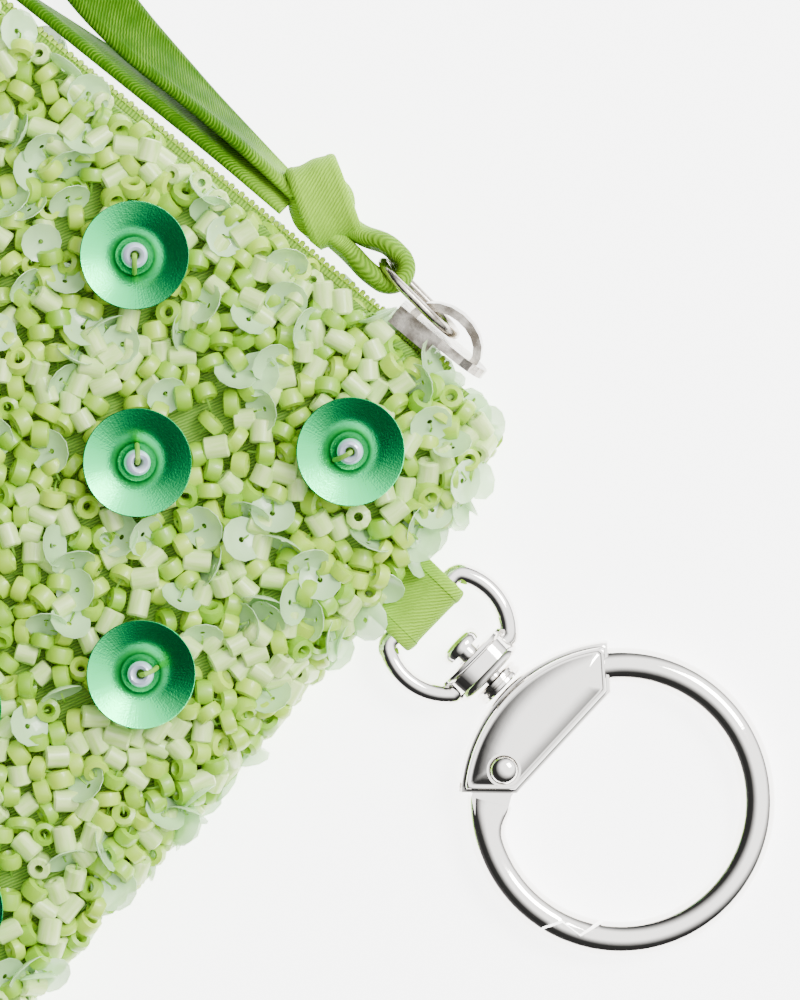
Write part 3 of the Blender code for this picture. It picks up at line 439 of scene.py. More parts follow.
# The kinds are seed bead, cut bead and small sequin, with the share of each, how near it
# may come to a cup's middle, the half length that its thread leaves from, and for the
# beads how far they lean, the share of them that lie down, and their girth
kind_names = ("seed_beads", "cut_beads", "small_sequins")
kind_finishes = (seed_bead, cut_bead, sequin_finish)
kind_shares = (0.52, 0.33, 0.15)
kind_clearances = (0.0026, 0.0026, 0.0065)
kind_halves = (0.0009, 0.0012, 0.0003)
kind_leans = (0.3, 0.16)
kind_lying = (0.92, 0.97)
kind_girths = (1.02, 1.0)
SEQUIN = 2
bead_spacing = 0.00154
bead_tries = 70000
bead_reach = 0.00102
sequin_reach = 0.0005
thread_clearance = 0.0062
thread_radius = 0.00011
lowest_bead = 0.00003
lowest_thread = 0.0003
for name, side, seed, steps, segments in (("front_panel", "front", 11, 7, 12),
                                          ("back_panel", "back", 12, 5, 10)):
    spots, rng = bead_spots(name, bead_spacing, bead_tries, seed)
    count = len(spots)
    kinds = rng.choice(3, size=count, p=kind_shares)
    radii = np.where(kinds == SEQUIN, sequin_reach, bead_reach)
    depths = np.where(kinds == SEQUIN, rng.uniform(-0.0002, 0.0006, count),
                      rng.uniform(0.00055, 0.00155, count))
    places, normals = settle(name, spots, depths, radii, 8)
    if side == "front":
        from_each = np.linalg.norm(places[:, None, :2] - cup_middles[None, :, :2], axis=2)
        from_cups = from_each.min(axis=1)
    else:
        from_cups = np.full(count, 1.0)
    laid = ([], [], [])
    tints = ([], [], [])
    thread_paths = []
    for index in range(count):
        kind = kinds[index]
        if from_cups[index] < kind_clearances[kind]:
            continue
        place = places[index]
        normal = normals[index] / np.linalg.norm(normals[index])
        along = np.cross(normal, rng.normal(size=3))
        along /= np.linalg.norm(along)
        spin = rng.uniform(0, 2 * math.pi)
        tints[kind].append(rng.random())
        half = kind_halves[kind]
        if kind == SEQUIN:
            lean = rng.uniform(0.3, 1.35)
            axis = along * math.sin(lean) + normal * math.cos(lean)
            size = rng.normal(1.0, 0.04)
            laid[kind].append(turn_to(axis, normal, spin, (size, size, 1.0), place - axis * half))
        else:
            lies = rng.random() < kind_lying[kind]
            lean = rng.normal(0, kind_leans[kind]) if lies else rng.uniform(0.9, 1.5)
            axis = along * math.cos(lean) + normal * math.sin(lean)
            size = rng.normal(kind_girths[kind], 0.05)
            length = rng.normal(1.0, 0.1)
            laid[kind].append(turn_to(axis, normal, spin, (size, size, length), place))
        start = place + axis * half * 0.4
        reach = place + axis * (half + 0.0007) - normal * (0.0 if kind == SEQUIN else 0.0003)
        cloth_spot = (place + along * (half + 0.001) * math.copysign(1, rng.random() - 0.3)
                      - normal * (BED_DEPTH - depths[index] + 0.0002))
        if from_cups[index] > thread_clearance:
            thread_paths.append([start, reach, cloth_spot])
    bases = (turned(seed_profile(steps), segments),
             turned(cut_profile(0.00116, 0.00104, 0.0004), segments - 2),
             turned(small_sequin_profile, segments))
    for label, finish, base, matrices, shades in zip(kind_names, kind_finishes, bases, laid, tints):
        corners = np.array([vert.co for vert in base.vertices])
        for matrix in matrices:
            lowest = (corners @ matrix[2, :3]).min() + matrix[2, 3]
            matrix[2, 3] += max(0.0, lowest_bead - lowest)
        mesh = copies(f"{side}_{label}", base, matrices, shades)
        link(f"{side}_{label}", mesh, "pouch", finish)
    stitches = bmesh.new()
    for start, reach, end in thread_paths:
        rings = []
        for step in range(4):
            share = step / 3
            where = (start * (1 - share) ** 2 + 2 * reach * share * (1 - share)
                     + end * share ** 2)
            where[2] = max(where[2], lowest_thread)
            ahead = reach * (1 - share) + end * share - start * (1 - share) - reach * share
            ahead /= np.linalg.norm(ahead) + 1e-9
            across = np.cross(ahead, np.array([0.31, 0.17, 0.93]))
            across /= np.linalg.norm(across) + 1e-9
            other = np.cross(ahead, across)
            ring = []
            for turn in (0.0, 2.094, 4.189):
                out = across * math.cos(turn) + other * math.sin(turn)
                ring.append(stitches.verts.new(where + thread_radius * out))
            rings.append(ring)
        for ring, following in zip(rings, rings[1:]):
            for corner in range(3):
                after = (corner + 1) % 3
                stitches.faces.new((ring[corner], ring[after], following[after], following[corner]))
        stitches.faces.new(list(reversed(rings[0])))
        stitches.faces.new(rings[-1])
    bmesh.ops.recalc_face_normals(stitches, faces=stitches.faces[:])
    stitch_mesh = into_mesh(stitches, f"{side}_threads")
    link(f"{side}_threads", stitch_mesh, "pouch", thread_finish)

# Large sequins. Each is a shallow cone of emerald foil with a flat well in its middle,
# pressed with fine rays, and sits hollow side up on the beads. An iridescent bead in
# the well holds it, and its thread comes out of the bead's hole.


def disc_place(name):
    """The middle of a round CAD node and the way it faces, upwards."""
    corners = np.array([vert.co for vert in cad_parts[name].data.vertices])
    middle = corners.mean(axis=0)
    axis = np.linalg.svd(corners - middle, full_matrices=False)[2][2]
    axis *= math.copysign(1, axis[2])
    heights = (corners - middle) @ axis
    return middle + axis * heights.min(), axis


def skin(rings, looped=False):
    """Faces between rings of points, with a UV map of millimetres round and along."""
    shape = bmesh.new()
    wrap = shape.loops.layers.uv.new("wrap")
    rows = [[shape.verts.new(point) for point in ring] for ring in rings]
    count = len(rows[0])
    middles = [sum((Vector(point) for point in ring), Vector()) / count for ring in rings]
    along = [0.0]
    for first, second in zip(middles, middles[1:]):
        along.append(along[-1] + (second - first).length * 1000)
    around = [[0.0] for ring in rings]
    for ring, steps in zip(rings, around):
        for index in range(count):
            side = Vector(ring[(index + 1) % count]) - Vector(ring[index])
            steps.append(steps[-1] + side.length * 1000)
    pairs = list(zip(range(len(rows)), range(1, len(rows))))
    if looped:
        pairs.append((len(rows) - 1, 0))
        along.append(along[-1] + (middles[0] - middles[-1]).length * 1000)
    for first, second in pairs:
        for index in range(count):
            after = (index + 1) % count
            face = shape.faces.new((rows[first][index], rows[first][after],
                                    rows[second][after], rows[second][index]))
            ends = (along[first], along[first + 1])
            spots = ((around[first][index], ends[0]), (around[first][index + 1], ends[0]),
                     (around[second][index + 1], ends[1]), (around[second][index], ends[1]))
            for loop, spot in zip(face.loops, spots):
                loop[wrap].uv = spot
    if not looped:
        shape.faces.new(list(reversed(rows[0])))
        shape.faces.new(rows[-1])
    bmesh.ops.recalc_face_normals(shape, faces=shape.faces[:])
    return into_mesh(shape, "skin")


def tube(points, radius, normal, sides, looped=False):
    """A round wire along points that lie in a plane with this normal."""
    points = [Vector(point) for point in points]
    rings = []
    for index, point in enumerate(points):
        if looped:
            way = points[(index + 1) % len(points)] - points[index - 1]
        else:
            way = points[min(index + 1, len(points) - 1)] - points[max(index - 1, 0)]
        side = Vector(normal).cross(way).normalized()
        turns = [2 * math.pi * step / sides for step in range(sides)]
        rings.append([point + side * (radius * math.cos(turn))
                      + Vector(normal) * (radius * math.sin(turn)) for turn in turns])
    return skin(rings, looped)


def arc(centre, radius, start, end, steps):
    """Points on an arc in the plane, in degrees."""
    turns = [math.radians(start + (end - start) * step / steps) for step in range(steps + 1)]
    return [(centre[0] + radius * math.cos(turn), centre[1] + radius * math.sin(turn))
            for turn in turns]


def plate(outline, low, high):
    """A flat plate between two heights."""
    return skin([[(x, y, low) for x, y in outline], [(x, y, high) for x, y in outline]])


def combine(meshes):
    """Several closed meshes as one."""
    shape = bmesh.new()
    for mesh in meshes:
        shape.from_mesh(mesh)
    return into_mesh(shape, "combined")


def carve(mesh, cutter):
    """The mesh with the cutter's space taken away."""
    piece = bpy.data.objects.new("carved", mesh)
    other = bpy.data.objects.new("cutter", cutter)
    for item in (piece, other):
        bpy.context.scene.collection.objects.link(item)
    boolean = piece.modifiers.new("cut", "BOOLEAN")
    boolean.object = other
    boolean.operation = "DIFFERENCE"
    boolean.solver = "EXACT"
    bpy.context.view_layer.update()
    finished = piece.evaluated_get(bpy.context.evaluated_depsgraph_get())
    made = bpy.data.meshes.new_from_object(finished)
    bpy.data.objects.remove(piece)
    bpy.data.objects.remove(other)
    return made


foil, foil_tree, foil_shader = material("emerald_foil", {"Metallic": 1.0, "Roughness": 0.25})
foil_wrap = node(foil_tree, "ShaderNodeUVMap", uv_map="wrap")
foil_rays = node(foil_tree, "ShaderNodeMapping", {
    "Vector": foil_wrap.outputs["UV"], "Scale": (160.0, 0.6, 1.0)})
foil_noise = node(foil_tree, "ShaderNodeTexNoise", {
    "Vector": foil_rays.outputs["Vector"], "Scale": 1.0, "Detail": 2.0})
foil_where = node(foil_tree, "ShaderNodeTexCoord")
foil_grain = node(foil_tree, "ShaderNodeTexNoise", {
    "Vector": foil_where.outputs["Object"], "Scale": 6000.0, "Detail": 1.0})
foil_height = node(foil_tree, "ShaderNodeMath", {
    0: foil_noise.outputs["Fac"], 1: foil_grain.outputs["Fac"]}, operation="ADD")
relief(foil_tree, foil_shader, foil_height.outputs["Value"], 0.35, 0.00004)
# The foil is painted darker where it lies lowest, in the flat well round the bead, as painted shade
# in the recess
foil_painted_shade_height = node(foil_tree, "ShaderNodeSeparateXYZ", {"Vector": foil_wrap.outputs["UV"]})
paint(foil_tree, foil_shader, foil_painted_shade_height.outputs["Y"],
      ((0.27, hue(5, 144, 70)), (0.42, hue(24, 220, 124))))
pearl = material("pearl_bead", {
    "Base Color": hue(196, 206, 226), "Roughness": 0.12, "Metallic": 0.25, "Coat Weight": 0.8,
    "Thin Film Thickness": 420.0, "Thin Film IOR": 1.45})[0]
cup_profile = [(0.0005, 0.0), (0.0017, 0.0), (0.0018, 0.00002), (0.00195, 0.0001),
               (0.0034, 0.00074), (0.00488, 0.00136), (0.005, 0.00143), (0.005, 0.00158),
               (0.00494, 0.00163), (0.00486, 0.0016), (0.0034, 0.00096), (0.00196, 0.00034),
               (0.00182, 0.00024), (0.0017, 0.0002), (0.0005, 0.0002)]
stop_profile = []
for step in range(12):
    turn = math.radians(30 * step)
    stop_profile.append((0.00082 + 0.00042 * swell(math.cos(turn), 0.8), 0.00078 * math.sin(turn)))
# How far out of the bead's middle and how high over the cup's foot its thread runs
thread_run = ((0.0, 0.5), (0.0, 1.5), (0.05, 2.05), (0.35, 2.28), (0.8, 2.16), (1.2, 1.6),
              (1.5, 0.8), (1.6, 0.3))
thread_turns = {1: -59.0, 2: 0.0, 5: 180.0, 8: 109.0}
other_thread_turn = 137.5
cup_radius = 0.005
cup_warp = 0.00007
stop_lift = 0.00118
stop_lean = 0.12
stop_thread_radius = 0.00024
for number in CUPS:
    name = f"cup_{number:02d}"
    foot, axis = disc_place(name)
    cup_rng = np.random.default_rng(200 + number)
    spin = cup_rng.uniform(0, 6.28)
    place = Matrix(turn_to(axis, np.array([1.0, 0.0, 0.0]), spin, (1, 1, 1), foot).tolist())
    axis_way = Vector(axis)
    cup_mesh = turned(cup_profile, 72)
    for vert in cup_mesh.vertices:
        reach = Vector(vert.co[:2]).length / cup_radius
        turn = math.atan2(vert.co.y, vert.co.x)
        vert.co.z += cup_warp * reach ** 2 * math.sin(2 * turn + number)
    cup_mesh.transform(place)
    cup = link(f"large_{name}", cup_mesh, "pouch", foil)
    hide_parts(name)
    stop_mesh = turned(stop_profile, 24)
    lean_one_way = Matrix.Rotation(cup_rng.normal(0, stop_lean), 4, "X")
    lean_other_way = Matrix.Rotation(cup_rng.normal(0, stop_lean), 4, "Y")
    stop_mesh.transform(place @ Matrix.Translation((0, 0, stop_lift))
                        @ (lean_one_way @ lean_other_way))
    stop = link(f"pearl_{number:02d}", stop_mesh, "pouch", pearl)
    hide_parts(f"stop_bead_{number:02d}")
    thread_turn = math.radians(thread_turns.get(number, other_thread_turn * number))
    way = Matrix.Rotation(thread_turn, 3, "Z") @ -picture_up
    way = (way - axis_way * way.dot(axis_way)).normalized()
    path = [place.translation + axis_way * height / 1000 + way * out / 1000
            for out, height in thread_run]
    stop_thread = tube(path, stop_thread_radius, way.cross(axis_way), 8)
    link(f"stop_thread_{number:02d}", stop_thread, "pouch", thread_finish)

# Zip. Two woven tapes meet at the pouch's mouth, and the closed nylon coil stands a
# little out of them, seen from its edge as a row of small rounded loops.
zip_weave, zip_tree, zip_shader = material("zip_tape", {"Roughness": 0.8})
zip_where = node(zip_tree, "ShaderNodeTexCoord")
zip_lines = node(zip_tree, "ShaderNodeTexWave", {
    "Vector": zip_where.outputs["Object"], "Scale": 900.0, "Distortion": 0.6})
paint(zip_tree, zip_shader, zip_lines.outputs["Fac"],
      ((0.0, hue(84, 128, 12)), (1.0, hue(134, 176, 36))))
relief(zip_tree, zip_shader, zip_lines.outputs["Fac"], 0.5, 0.00008)
for name in ("zip_tape_front", "zip_tape_back"):
    tape_shape = bmesh.new()
    tape_shape.from_mesh(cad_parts[name].data)
    bmesh.ops.remove_doubles(tape_shape, verts=tape_shape.verts[:], dist=WELD)
    rims = [edge for edge in tape_shape.edges
            if len(edge.link_faces) == 2 and edge.calc_face_angle(0) > math.radians(60)]
    bmesh.ops.bevel(tape_shape, geom=rims, offset=0.00012, segments=2, profile=0.5,
                    affect="EDGES", material=-1)
    tape_mesh = into_mesh(tape_shape, name)
    tape = link(f"{name}_cloth", tape_mesh, "pouch", zip_weave)
    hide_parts(name)

coil_finish = material("zip_coil", {"Base Color": hue(142, 178, 30), "Roughness": 0.5})[0]
coil_points = np.array([vert.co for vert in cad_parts["zip_coil"].data.vertices])
coil_left, coil_right = coil_points[:, 0].min(), coil_points[:, 0].max()
coil_foot, coil_crest = coil_points[:, 1].min(), coil_points[:, 1].max()


def coil_heights(x):
    """The lowest and the highest point of the coil's solid at a place along it."""
    near = coil_points[np.argsort(abs(coil_points[:, 0] - x))[:8], 2]
    return near.min(), near.max()


coil_pitch = 0.0006
coil_wire = 0.00027
coil_meshes = []
for turn in range(int((coil_right - coil_left) / coil_pitch)):
    x = coil_left + coil_pitch * (turn + 0.5)
    lowest, highest = coil_heights(x)
    middle = (lowest + highest) / 2
    reach = (highest - lowest) / 2 - 0.0004
    crest = coil_crest - coil_wire - (0.00012 if turn % 2 else 0.0)
    foot = coil_foot + 0.00028
    path = [(x, foot + (crest - foot) * math.sin(math.radians(angle)) ** 0.6,
             middle - reach * math.cos(math.radians(angle))) for angle in range(0, 181, 18)]
    coil_meshes.append(tube(path, coil_wire, (1, 0, 0), 6))

# The woven cord that the coil's turns go round
cord_foot = coil_foot - 0.00026
cord_crest = coil_crest - 0.0005
cord_inset = 0.0003
cord_bevel = 0.0001
cord_rings = []
for step in range(46):
    x = coil_left + (coil_right - coil_left) * step / 45
    lowest, highest = coil_heights(x)
    low = lowest + cord_inset
    high = highest - cord_inset
    cord_rings.append([(x, cord_foot, low), (x, cord_crest, low + cord_bevel),
                       (x, cord_crest, high - cord_bevel), (x, cord_foot, high)])
link("coil_cord", skin(cord_rings), "pouch", zip_weave)
coil = link("coil_turns", combine(coil_meshes), "pouch", coil_finish)
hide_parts("zip_coil")

# Zip slider and its puller link. Both are cast and nickel plated, a little dull and
# pitted; the link is a long oval wire whose end runs under the slider's bridge.
cast, cast_tree, cast_shader = material("cast_nickel", {"Metallic": 1.0})
cast_where = node(cast_tree, "ShaderNodeTexCoord")
cast_noise = node(cast_tree, "ShaderNodeTexNoise", {
    "Vector": cast_where.outputs["Object"], "Scale": 2200.0, "Detail": 4.0})
cast_cloud = node(cast_tree, "ShaderNodeTexNoise", {
    "Vector": cast_where.outputs["Object"], "Scale": 520.0, "Detail": 5.0})
paint(cast_tree, cast_shader, cast_cloud.outputs["Fac"],
      ((0.38, hue(112, 105, 94)), (0.6, hue(206, 200, 188))))
cast_rough = node(cast_tree, "ShaderNodeMapRange", {
    "Value": cast_noise.outputs["Fac"], "From Min": 0.3, "From Max": 0.7, "To Min": 0.12,
    "To Max": 0.3})
cast_tree.links.new(cast_rough.outputs["Result"], cast_shader.inputs["Roughness"])
relief(cast_tree, cast_shader, cast_noise.outputs["Fac"], 0.3, 0.00004)
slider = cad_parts["zip_slider"]
slider.data.materials.clear()
slider.data.materials.append(cast)
slider_round = 0.00012
slider_edges = slider.modifiers.new("edges", "BEVEL")
slider_edges.width = slider_round
slider_edges.segments = 2
slider_edges.limit_method = "ANGLE"
slider_edges.angle_limit = math.radians(35)

# The link's own frame from the nose: nearly along the zip, and leaning over the slider
link_place = Matrix((
    (0.994522, 0.104529, 0.0, -0.008824),
    (-0.103749, 0.987109, -0.121869, 0.002564),
    (-0.012739, 0.121202, 0.992546, 0.00516),
    (0.0, 0.0, 0.0, 1.0)))
link_half_length = 0.00125
link_end_radius = 0.00345
link_wire = 0.00045
link_side = (arc((link_half_length, 0.0), link_end_radius, -90, 90, 20)
             + arc((-link_half_length, 0.0), link_end_radius, 90, 270, 20))
link_path = [(x, 0.0, y) for x, y in link_side]
link_mesh = tube(link_path, link_wire, (0, 1, 0), 14, looped=True)
link_mesh.transform(Matrix.Translation(NOSE) @ link_place)
puller = link("puller_wire", link_mesh, "pouch", cast)
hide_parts("puller_link")

# Strap. A folded satin band runs along the zip and back in one long closed loop. It is
# slung round the puller link and drawn into a hitch behind it.


def smooth_route(stations, steps):
    """Read a smooth curve through rows of numbers."""
    route = []
    last = len(stations) - 1
    for index in range(last):
        rows = [np.array(stations[min(max(index + shift, 0), last)], dtype=float)
                for shift in (-1, 0, 1, 2)]
        for step in range(steps):
            t = step / steps
            route.append(0.5 * (2 * rows[1] + (rows[2] - rows[0]) * t
                                + (2 * rows[0] - 5 * rows[1] + 4 * rows[2] - rows[3]) * t * t
                                + (3 * rows[1] - rows[0] - 3 * rows[2] + rows[3]) * t ** 3))
    route.append(np.array(stations[last], dtype=float))
    return route


def ribbon(rows, thickness, looped=False, crease=0.0, power=9, hem=0.16):
    """A hemmed band through rows of middle, width direction and width.

    The crease is how deep its soft folds are, the power how square its edges are, and the
    hem the share of the thickness that the turned-in edges add.
    """
    shape = bmesh.new()
    wrap = shape.loops.layers.uv.new("wrap")
    spread = [-1, -0.985, -0.94, -0.86, -0.76, -0.72, -0.7, -0.68, -0.64, -0.4, -0.2]
    spread = spread + [0] + [-t for t in reversed(spread)]
    section = [(t, 1) for t in spread] + [(t, -1) for t in reversed(spread[1:-1])]
    count = len(rows)
    rings = []
    along = [0.0]
    for index, (middle, side, width) in enumerate(rows):
        ahead = rows[(index + 1) % count if looped else min(index + 1, count - 1)][0]
        behind = rows[index - 1 if looped else max(index - 1, 0)][0]
        way = (ahead - behind).normalized()
        face = way.cross(side).normalized()
        if index:
            along.append(along[-1] + (middle - rows[index - 1][0]).length * 1000)
        ring = []
        for t, sign in section:
            fold_share = min(1.0, max(0.0, (abs(t) - 0.62) / 0.1))
            rounding = math.sqrt(max(0.0, 1 - abs(t) ** power))
            height = thickness / 2 * (1 - hem + hem * fold_share) * rounding
            fold = crease * math.sin(5.2 * t + 0.35 * along[-1]) * (1 - t * t)
            spot = middle + side * (t * width / 2) + face * (sign * height + fold)
            ring.append(shape.verts.new(spot))
        rings.append(ring)
    pairs = [(index, index + 1) for index in range(count - 1)]
    if looped:
        pairs.append((count - 1, 0))
    for first, second in pairs:
        for index in range(len(section)):
            after = (index + 1) % len(section)
            face = shape.faces.new((rings[first][index], rings[first][after],
                                    rings[second][after], rings[second][index]))
            ends = (along[first], along[first + 1] if first + 1 < count else along[first] + 0.4)
            spots = ((index, 0), (after, 0), (after, 1), (index, 1))
            for loop, (which, end) in zip(face.loops, spots):
                loop[wrap].uv = (section[which][0] * rows[first][2] * 500, ends[end])
    if not looped:
        shape.faces.new(list(reversed(rings[0])))
        shape.faces.new(rings[-1])
    bmesh.ops.recalc_face_normals(shape, faces=shape.faces[:])
    return into_mesh(shape, "ribbon")


satin, satin_tree, satin_shader = material("satin", {
    "Roughness": 0.6, "Specular IOR Level": 0.12, "Specular Tint": hue(186, 226, 120)})
satin_wrap = node(satin_tree, "ShaderNodeUVMap", uv_map="wrap")
satin_turn = node(satin_tree, "ShaderNodeMapping", {
    "Vector": satin_wrap.outputs["UV"], "Rotation": (0.0, 0.0, math.radians(52))})
satin_twill = node(satin_tree, "ShaderNodeTexWave", {
    "Vector": satin_turn.outputs["Vector"], "Scale": 1.12, "Distortion": 2.2, "Detail": 2.0,
    "Detail Scale": 2.5})
satin_cloud = node(satin_tree, "ShaderNodeTexNoise", {
    "Vector": satin_wrap.outputs["UV"], "Scale": 0.5, "Detail": 3.0})
# A point attribute carries painted light and shade on the strap and tab: mapped here, it paints the
# satin lighter on the lit pieces and darker on the shaded ones
satin_painted_light_mark = node(satin_tree, "ShaderNodeAttribute", attribute_name="tone_and_painted_light")
satin_painted_light_level = node(satin_tree, "ShaderNodeMapRange", {
    "Value": satin_painted_light_mark.outputs["Fac"], "To Min": -0.03, "To Max": 0.61})
satin_mix = node(satin_tree, "ShaderNodeMath", {
    0: satin_twill.outputs["Fac"], 1: satin_cloud.outputs["Fac"]}, operation="MULTIPLY")
satin_sum = node(satin_tree, "ShaderNodeMath", {
    0: satin_mix.outputs["Value"], 1: 0.58, 2: satin_painted_light_level.outputs["Result"]},
    operation="MULTIPLY_ADD")
paint(satin_tree, satin_shader, satin_sum.outputs["Value"],
      ((0.1, hue(44, 92, 1)), (1.0, hue(162, 214, 60))))
relief(satin_tree, satin_shader, satin_twill.outputs["Fac"], 0.8, 0.00008)

# The route of the strap's middle: X, Y and Z from the nose in millimetres, and the
# degrees that the band leans over from lying flat
STRAP_WIDTH = 5.6
strap_route = smooth_route((
    (-23.665, 2.016, 3.584, 62.0), (-30.815, 2.124, 3.416, 62.0), (-39.395, 1.908, 3.192, 68.0),
    (-48.69, 1.44, 3.136, 78.0), (-55.84, 1.008, 3.136, 88.0), (-64.42, 1.008, 3.136, 90.0),
    (-73.715, 1.152, 3.136, 90.0), (-82.295, 1.89, 3.136, 90.0), (-89.445, 4.14, 3.136, 90.0),
    (-94.093, 7.56, 3.136, 90.0), (-95.88, 11.52, 3.136, 90.0), (-93.378, 15.48, 3.136, 90.0),
    (-87.658, 17.55, 3.08, 94.0), (-80.865, 16.83, 2.912, 108.0), (-73.715, 14.4, 2.576, 126.0),
    (-66.565, 11.16, 2.016, 145.0), (-59.415, 8.46, 1.512, 160.0), (-52.265, 6.3, 1.456, 163.0),
    (-45.115, 4.896, 2.24, 145.0), (-37.608, 4.23, 2.968, 122.0), (-30.458, 3.69, 3.472, 108.0),
    (-23.665, 3.06, 3.64, 100.0)), 9)


def strap_rows(route, widths):
    """Turn rows of place and lean into rows of middle, width direction and width."""
    rows = []
    for index, (x, y, z, lean) in enumerate(route):
        ahead = Vector(route[min(index + 1, len(route) - 1)][:3])
        way = ahead - Vector(route[max(index - 1, 0)][:3])
        flat = Vector((0.0, 0.0, 1.0)).cross(way).normalized()
        up = way.normalized().cross(flat)
        angle = math.radians(lean)
        rows.append((at(x, y, z), flat * math.cos(angle) + up * math.sin(angle),
                     widths[index] / 1000))
    return rows


loop_thickness = 0.0012
loop_rows = strap_rows(strap_route, [STRAP_WIDTH] * len(strap_route))
strap_meshes = [ribbon(loop_rows, loop_thickness, crease=0.00006)]

# The sling's rows also give its width
sling_start = [(-21.5, 1.9, 4.0, 90.0, 4.5), (-17.18, 1.9, 4.0, 90.0, 5.0),
               (-14.4, 1.55, 5.22, 90.0, 5.13)]
sling_bend = [(x, y, 5.22, 90.0, 5.13) for x, y in arc((-12.75, 3.05), 1.5, -90, 90, 10)]
sling_end = [(-14.4, 4.55, 5.22, 90.0, 5.13), (-17.18, 3.7, 4.0, 90.0, 5.0),
             (-21.5, 3.7, 4.0, 90.0, 4.5)]
sling_route = smooth_route(sling_start + sling_bend + sling_end, 5)
sling_rows = strap_rows([row[:4] for row in sling_route], [row[4] for row in sling_route])
sling_thickness = 0.0021
strap_meshes.append(ribbon(sling_rows, sling_thickness, crease=0.00014, power=2.6))

# The hitch is a band wound once round a soft core
hitch_way = Vector((0.86, -0.51, 0.0)).normalized()
hitch_side = Vector((0.51, 0.86, 0.0)).normalized()
hitch_middle = at(-21.3, 3.95, 4.0)
hitch_half_length, hitch_half_height = 3.55, 3.05
hitch_width = 0.005
hitch_thickness = 0.0011
hitch_rows = []
for step in range(64):
    turn = math.radians(360 * step / 64)
    out = swell(math.cos(turn), 0.75) * hitch_half_length
    up = swell(math.sin(turn), 0.75) * hitch_half_height
    lean = Vector((0.0, 0.0, 0.16 * math.cos(turn)))
    spot = hitch_middle + hitch_way * out / 1000 + Vector((0.0, 0.0, up / 1000))
    hitch_rows.append((spot, (hitch_side + lean).normalized(), hitch_width))
hitch_mesh = ribbon(hitch_rows, hitch_thickness, looped=True, crease=0.00011)
core_middle = at(-21.3, 3.55, 4.0)
core_size = (3.3, 3.0, 2.95)
core_shape = bmesh.new()
core_wrap = core_shape.loops.layers.uv.new("wrap")
bmesh.ops.create_uvsphere(core_shape, u_segments=48, v_segments=28, radius=1.0)
for vert in core_shape.verts:
    along, out, up = vert.co
    fold = 1 + 0.05 * math.sin(7 * out + 3 * up) + 0.03 * math.sin(11 * up - 4 * along)
    rise = Vector((0.0, 0.0, up * core_size[2] * fold / 1000))
    vert.co = (core_middle + hitch_way * (along * core_size[0] * fold / 1000)
               + hitch_side * (out * core_size[1] * fold / 1000) + rise)
for face in core_shape.faces:
    for loop in face.loops:
        spot = (loop.vert.co - NOSE) * 1000
        loop[core_wrap].uv = (spot.y + spot.z * 0.6, spot.x)
strap_meshes += [hitch_mesh, into_mesh(core_shape, "core")]
strap_mesh = combine(strap_meshes)

# Painted light and shade on the satin: it is painted lightest on the hitch, darker on the sling and
# darkest on the loop
strap_off_zip = 0.00032
strap_painted_light = strap_mesh.attributes.new("tone_and_painted_light", "FLOAT", "POINT")
for vert in strap_mesh.vertices:
    vert.co.y = max(vert.co.y, NOSE.y + strap_off_zip)
    along = vert.co.x - NOSE.x
    on_hitch = min(1.0, max(0.0, (along + 0.031) / 0.008))
    on_sling = min(1.0, max(0.0, (along + 0.0178) / 0.002))
    strap_painted_light.data[vert.index].value = on_hitch - 0.5 * on_sling
strap_piece = link("satin_strap", strap_mesh, "pouch", satin)
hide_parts("strap")

# Tab. A short strip of the same satin, its long edges pressed in, is folded round the
# eye's bar and caught in the side seam.
clip_middle = (0.03363, 0.01199, 0.00335)
clip_turn = math.radians(-5.0)
TAB_WIDTH = 0.0076
tab_place = Matrix.Translation(clip_middle) @ Matrix.Rotation(clip_turn, 4, "Z")
tab_half = [(-6.7, 0.38), (-4.6, 0.38), (-2.9, 0.4), (-1.75, 0.95)]
tab_turn = arc((0.0, 0.0), 1.655, 115, -115, 18)
tab_stations = tab_half + tab_turn + [(x, -z) for x, z in reversed(tab_half)]
tab_side = tab_place.col[1].to_3d()
tab_rows = [(tab_place @ (Vector((row[0], 0.0, row[1])) / 1000), tab_side, TAB_WIDTH)
            for row in smooth_route(tab_stations, 4)]
tab_thickness = 0.00078
tab_mesh = ribbon(tab_rows, tab_thickness, hem=0.34)

# A line of painted shade runs along each pressed edge's crease, and the rest of the tab gets the
# hitch's painted light
tab_crease = 0.7 * TAB_WIDTH / 2
tab_painted_light = tab_mesh.attributes.new("tone_and_painted_light", "FLOAT", "POINT")
tab_middle = tab_place.inverted()
for vert in tab_mesh.vertices:
    off_crease = abs(abs((tab_middle @ vert.co).y) - tab_crease)
    tab_painted_light.data[vert.index].value = 0.1 if off_crease < 0.00003 else 1.0
tab_piece = link("satin_tab", tab_mesh, "pouch", satin)
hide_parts("tab")

# Ring clip. It is zinc, plated bright, and turns on the tab's eye: a round eye cast in
# one with its swivel barrel, a riveted post, and a ring with a leaf-shaped housing whose
# gate closes on a stepped latch. Its own frame sits in the middle of the eye's bar.
clip_droop = math.radians(2.611)
ring_from_eye = 0.0258
EYE_WIRE = 0.00095
RING_RADIUS = 12.74
RING_WIRE = 1.58
LEAF_RADIUS = 15.0
clip = tab_place @ Matrix.Rotation(clip_droop, 4, "Y")
ring_place = clip @ Matrix.Translation((ring_from_eye, 0.0, 0.0))
chrome, chrome_tree, chrome_shader = material("bright_plate", {
    "Base Color": hue(240, 237, 232), "Metallic": 1.0})
chrome_where = node(chrome_tree, "ShaderNodeTexCoord")
chrome_noise = node(chrome_tree, "ShaderNodeTexNoise", {
    "Vector": chrome_where.outputs["Object"], "Scale": 520.0, "Detail": 5.0, "Roughness": 0.62})
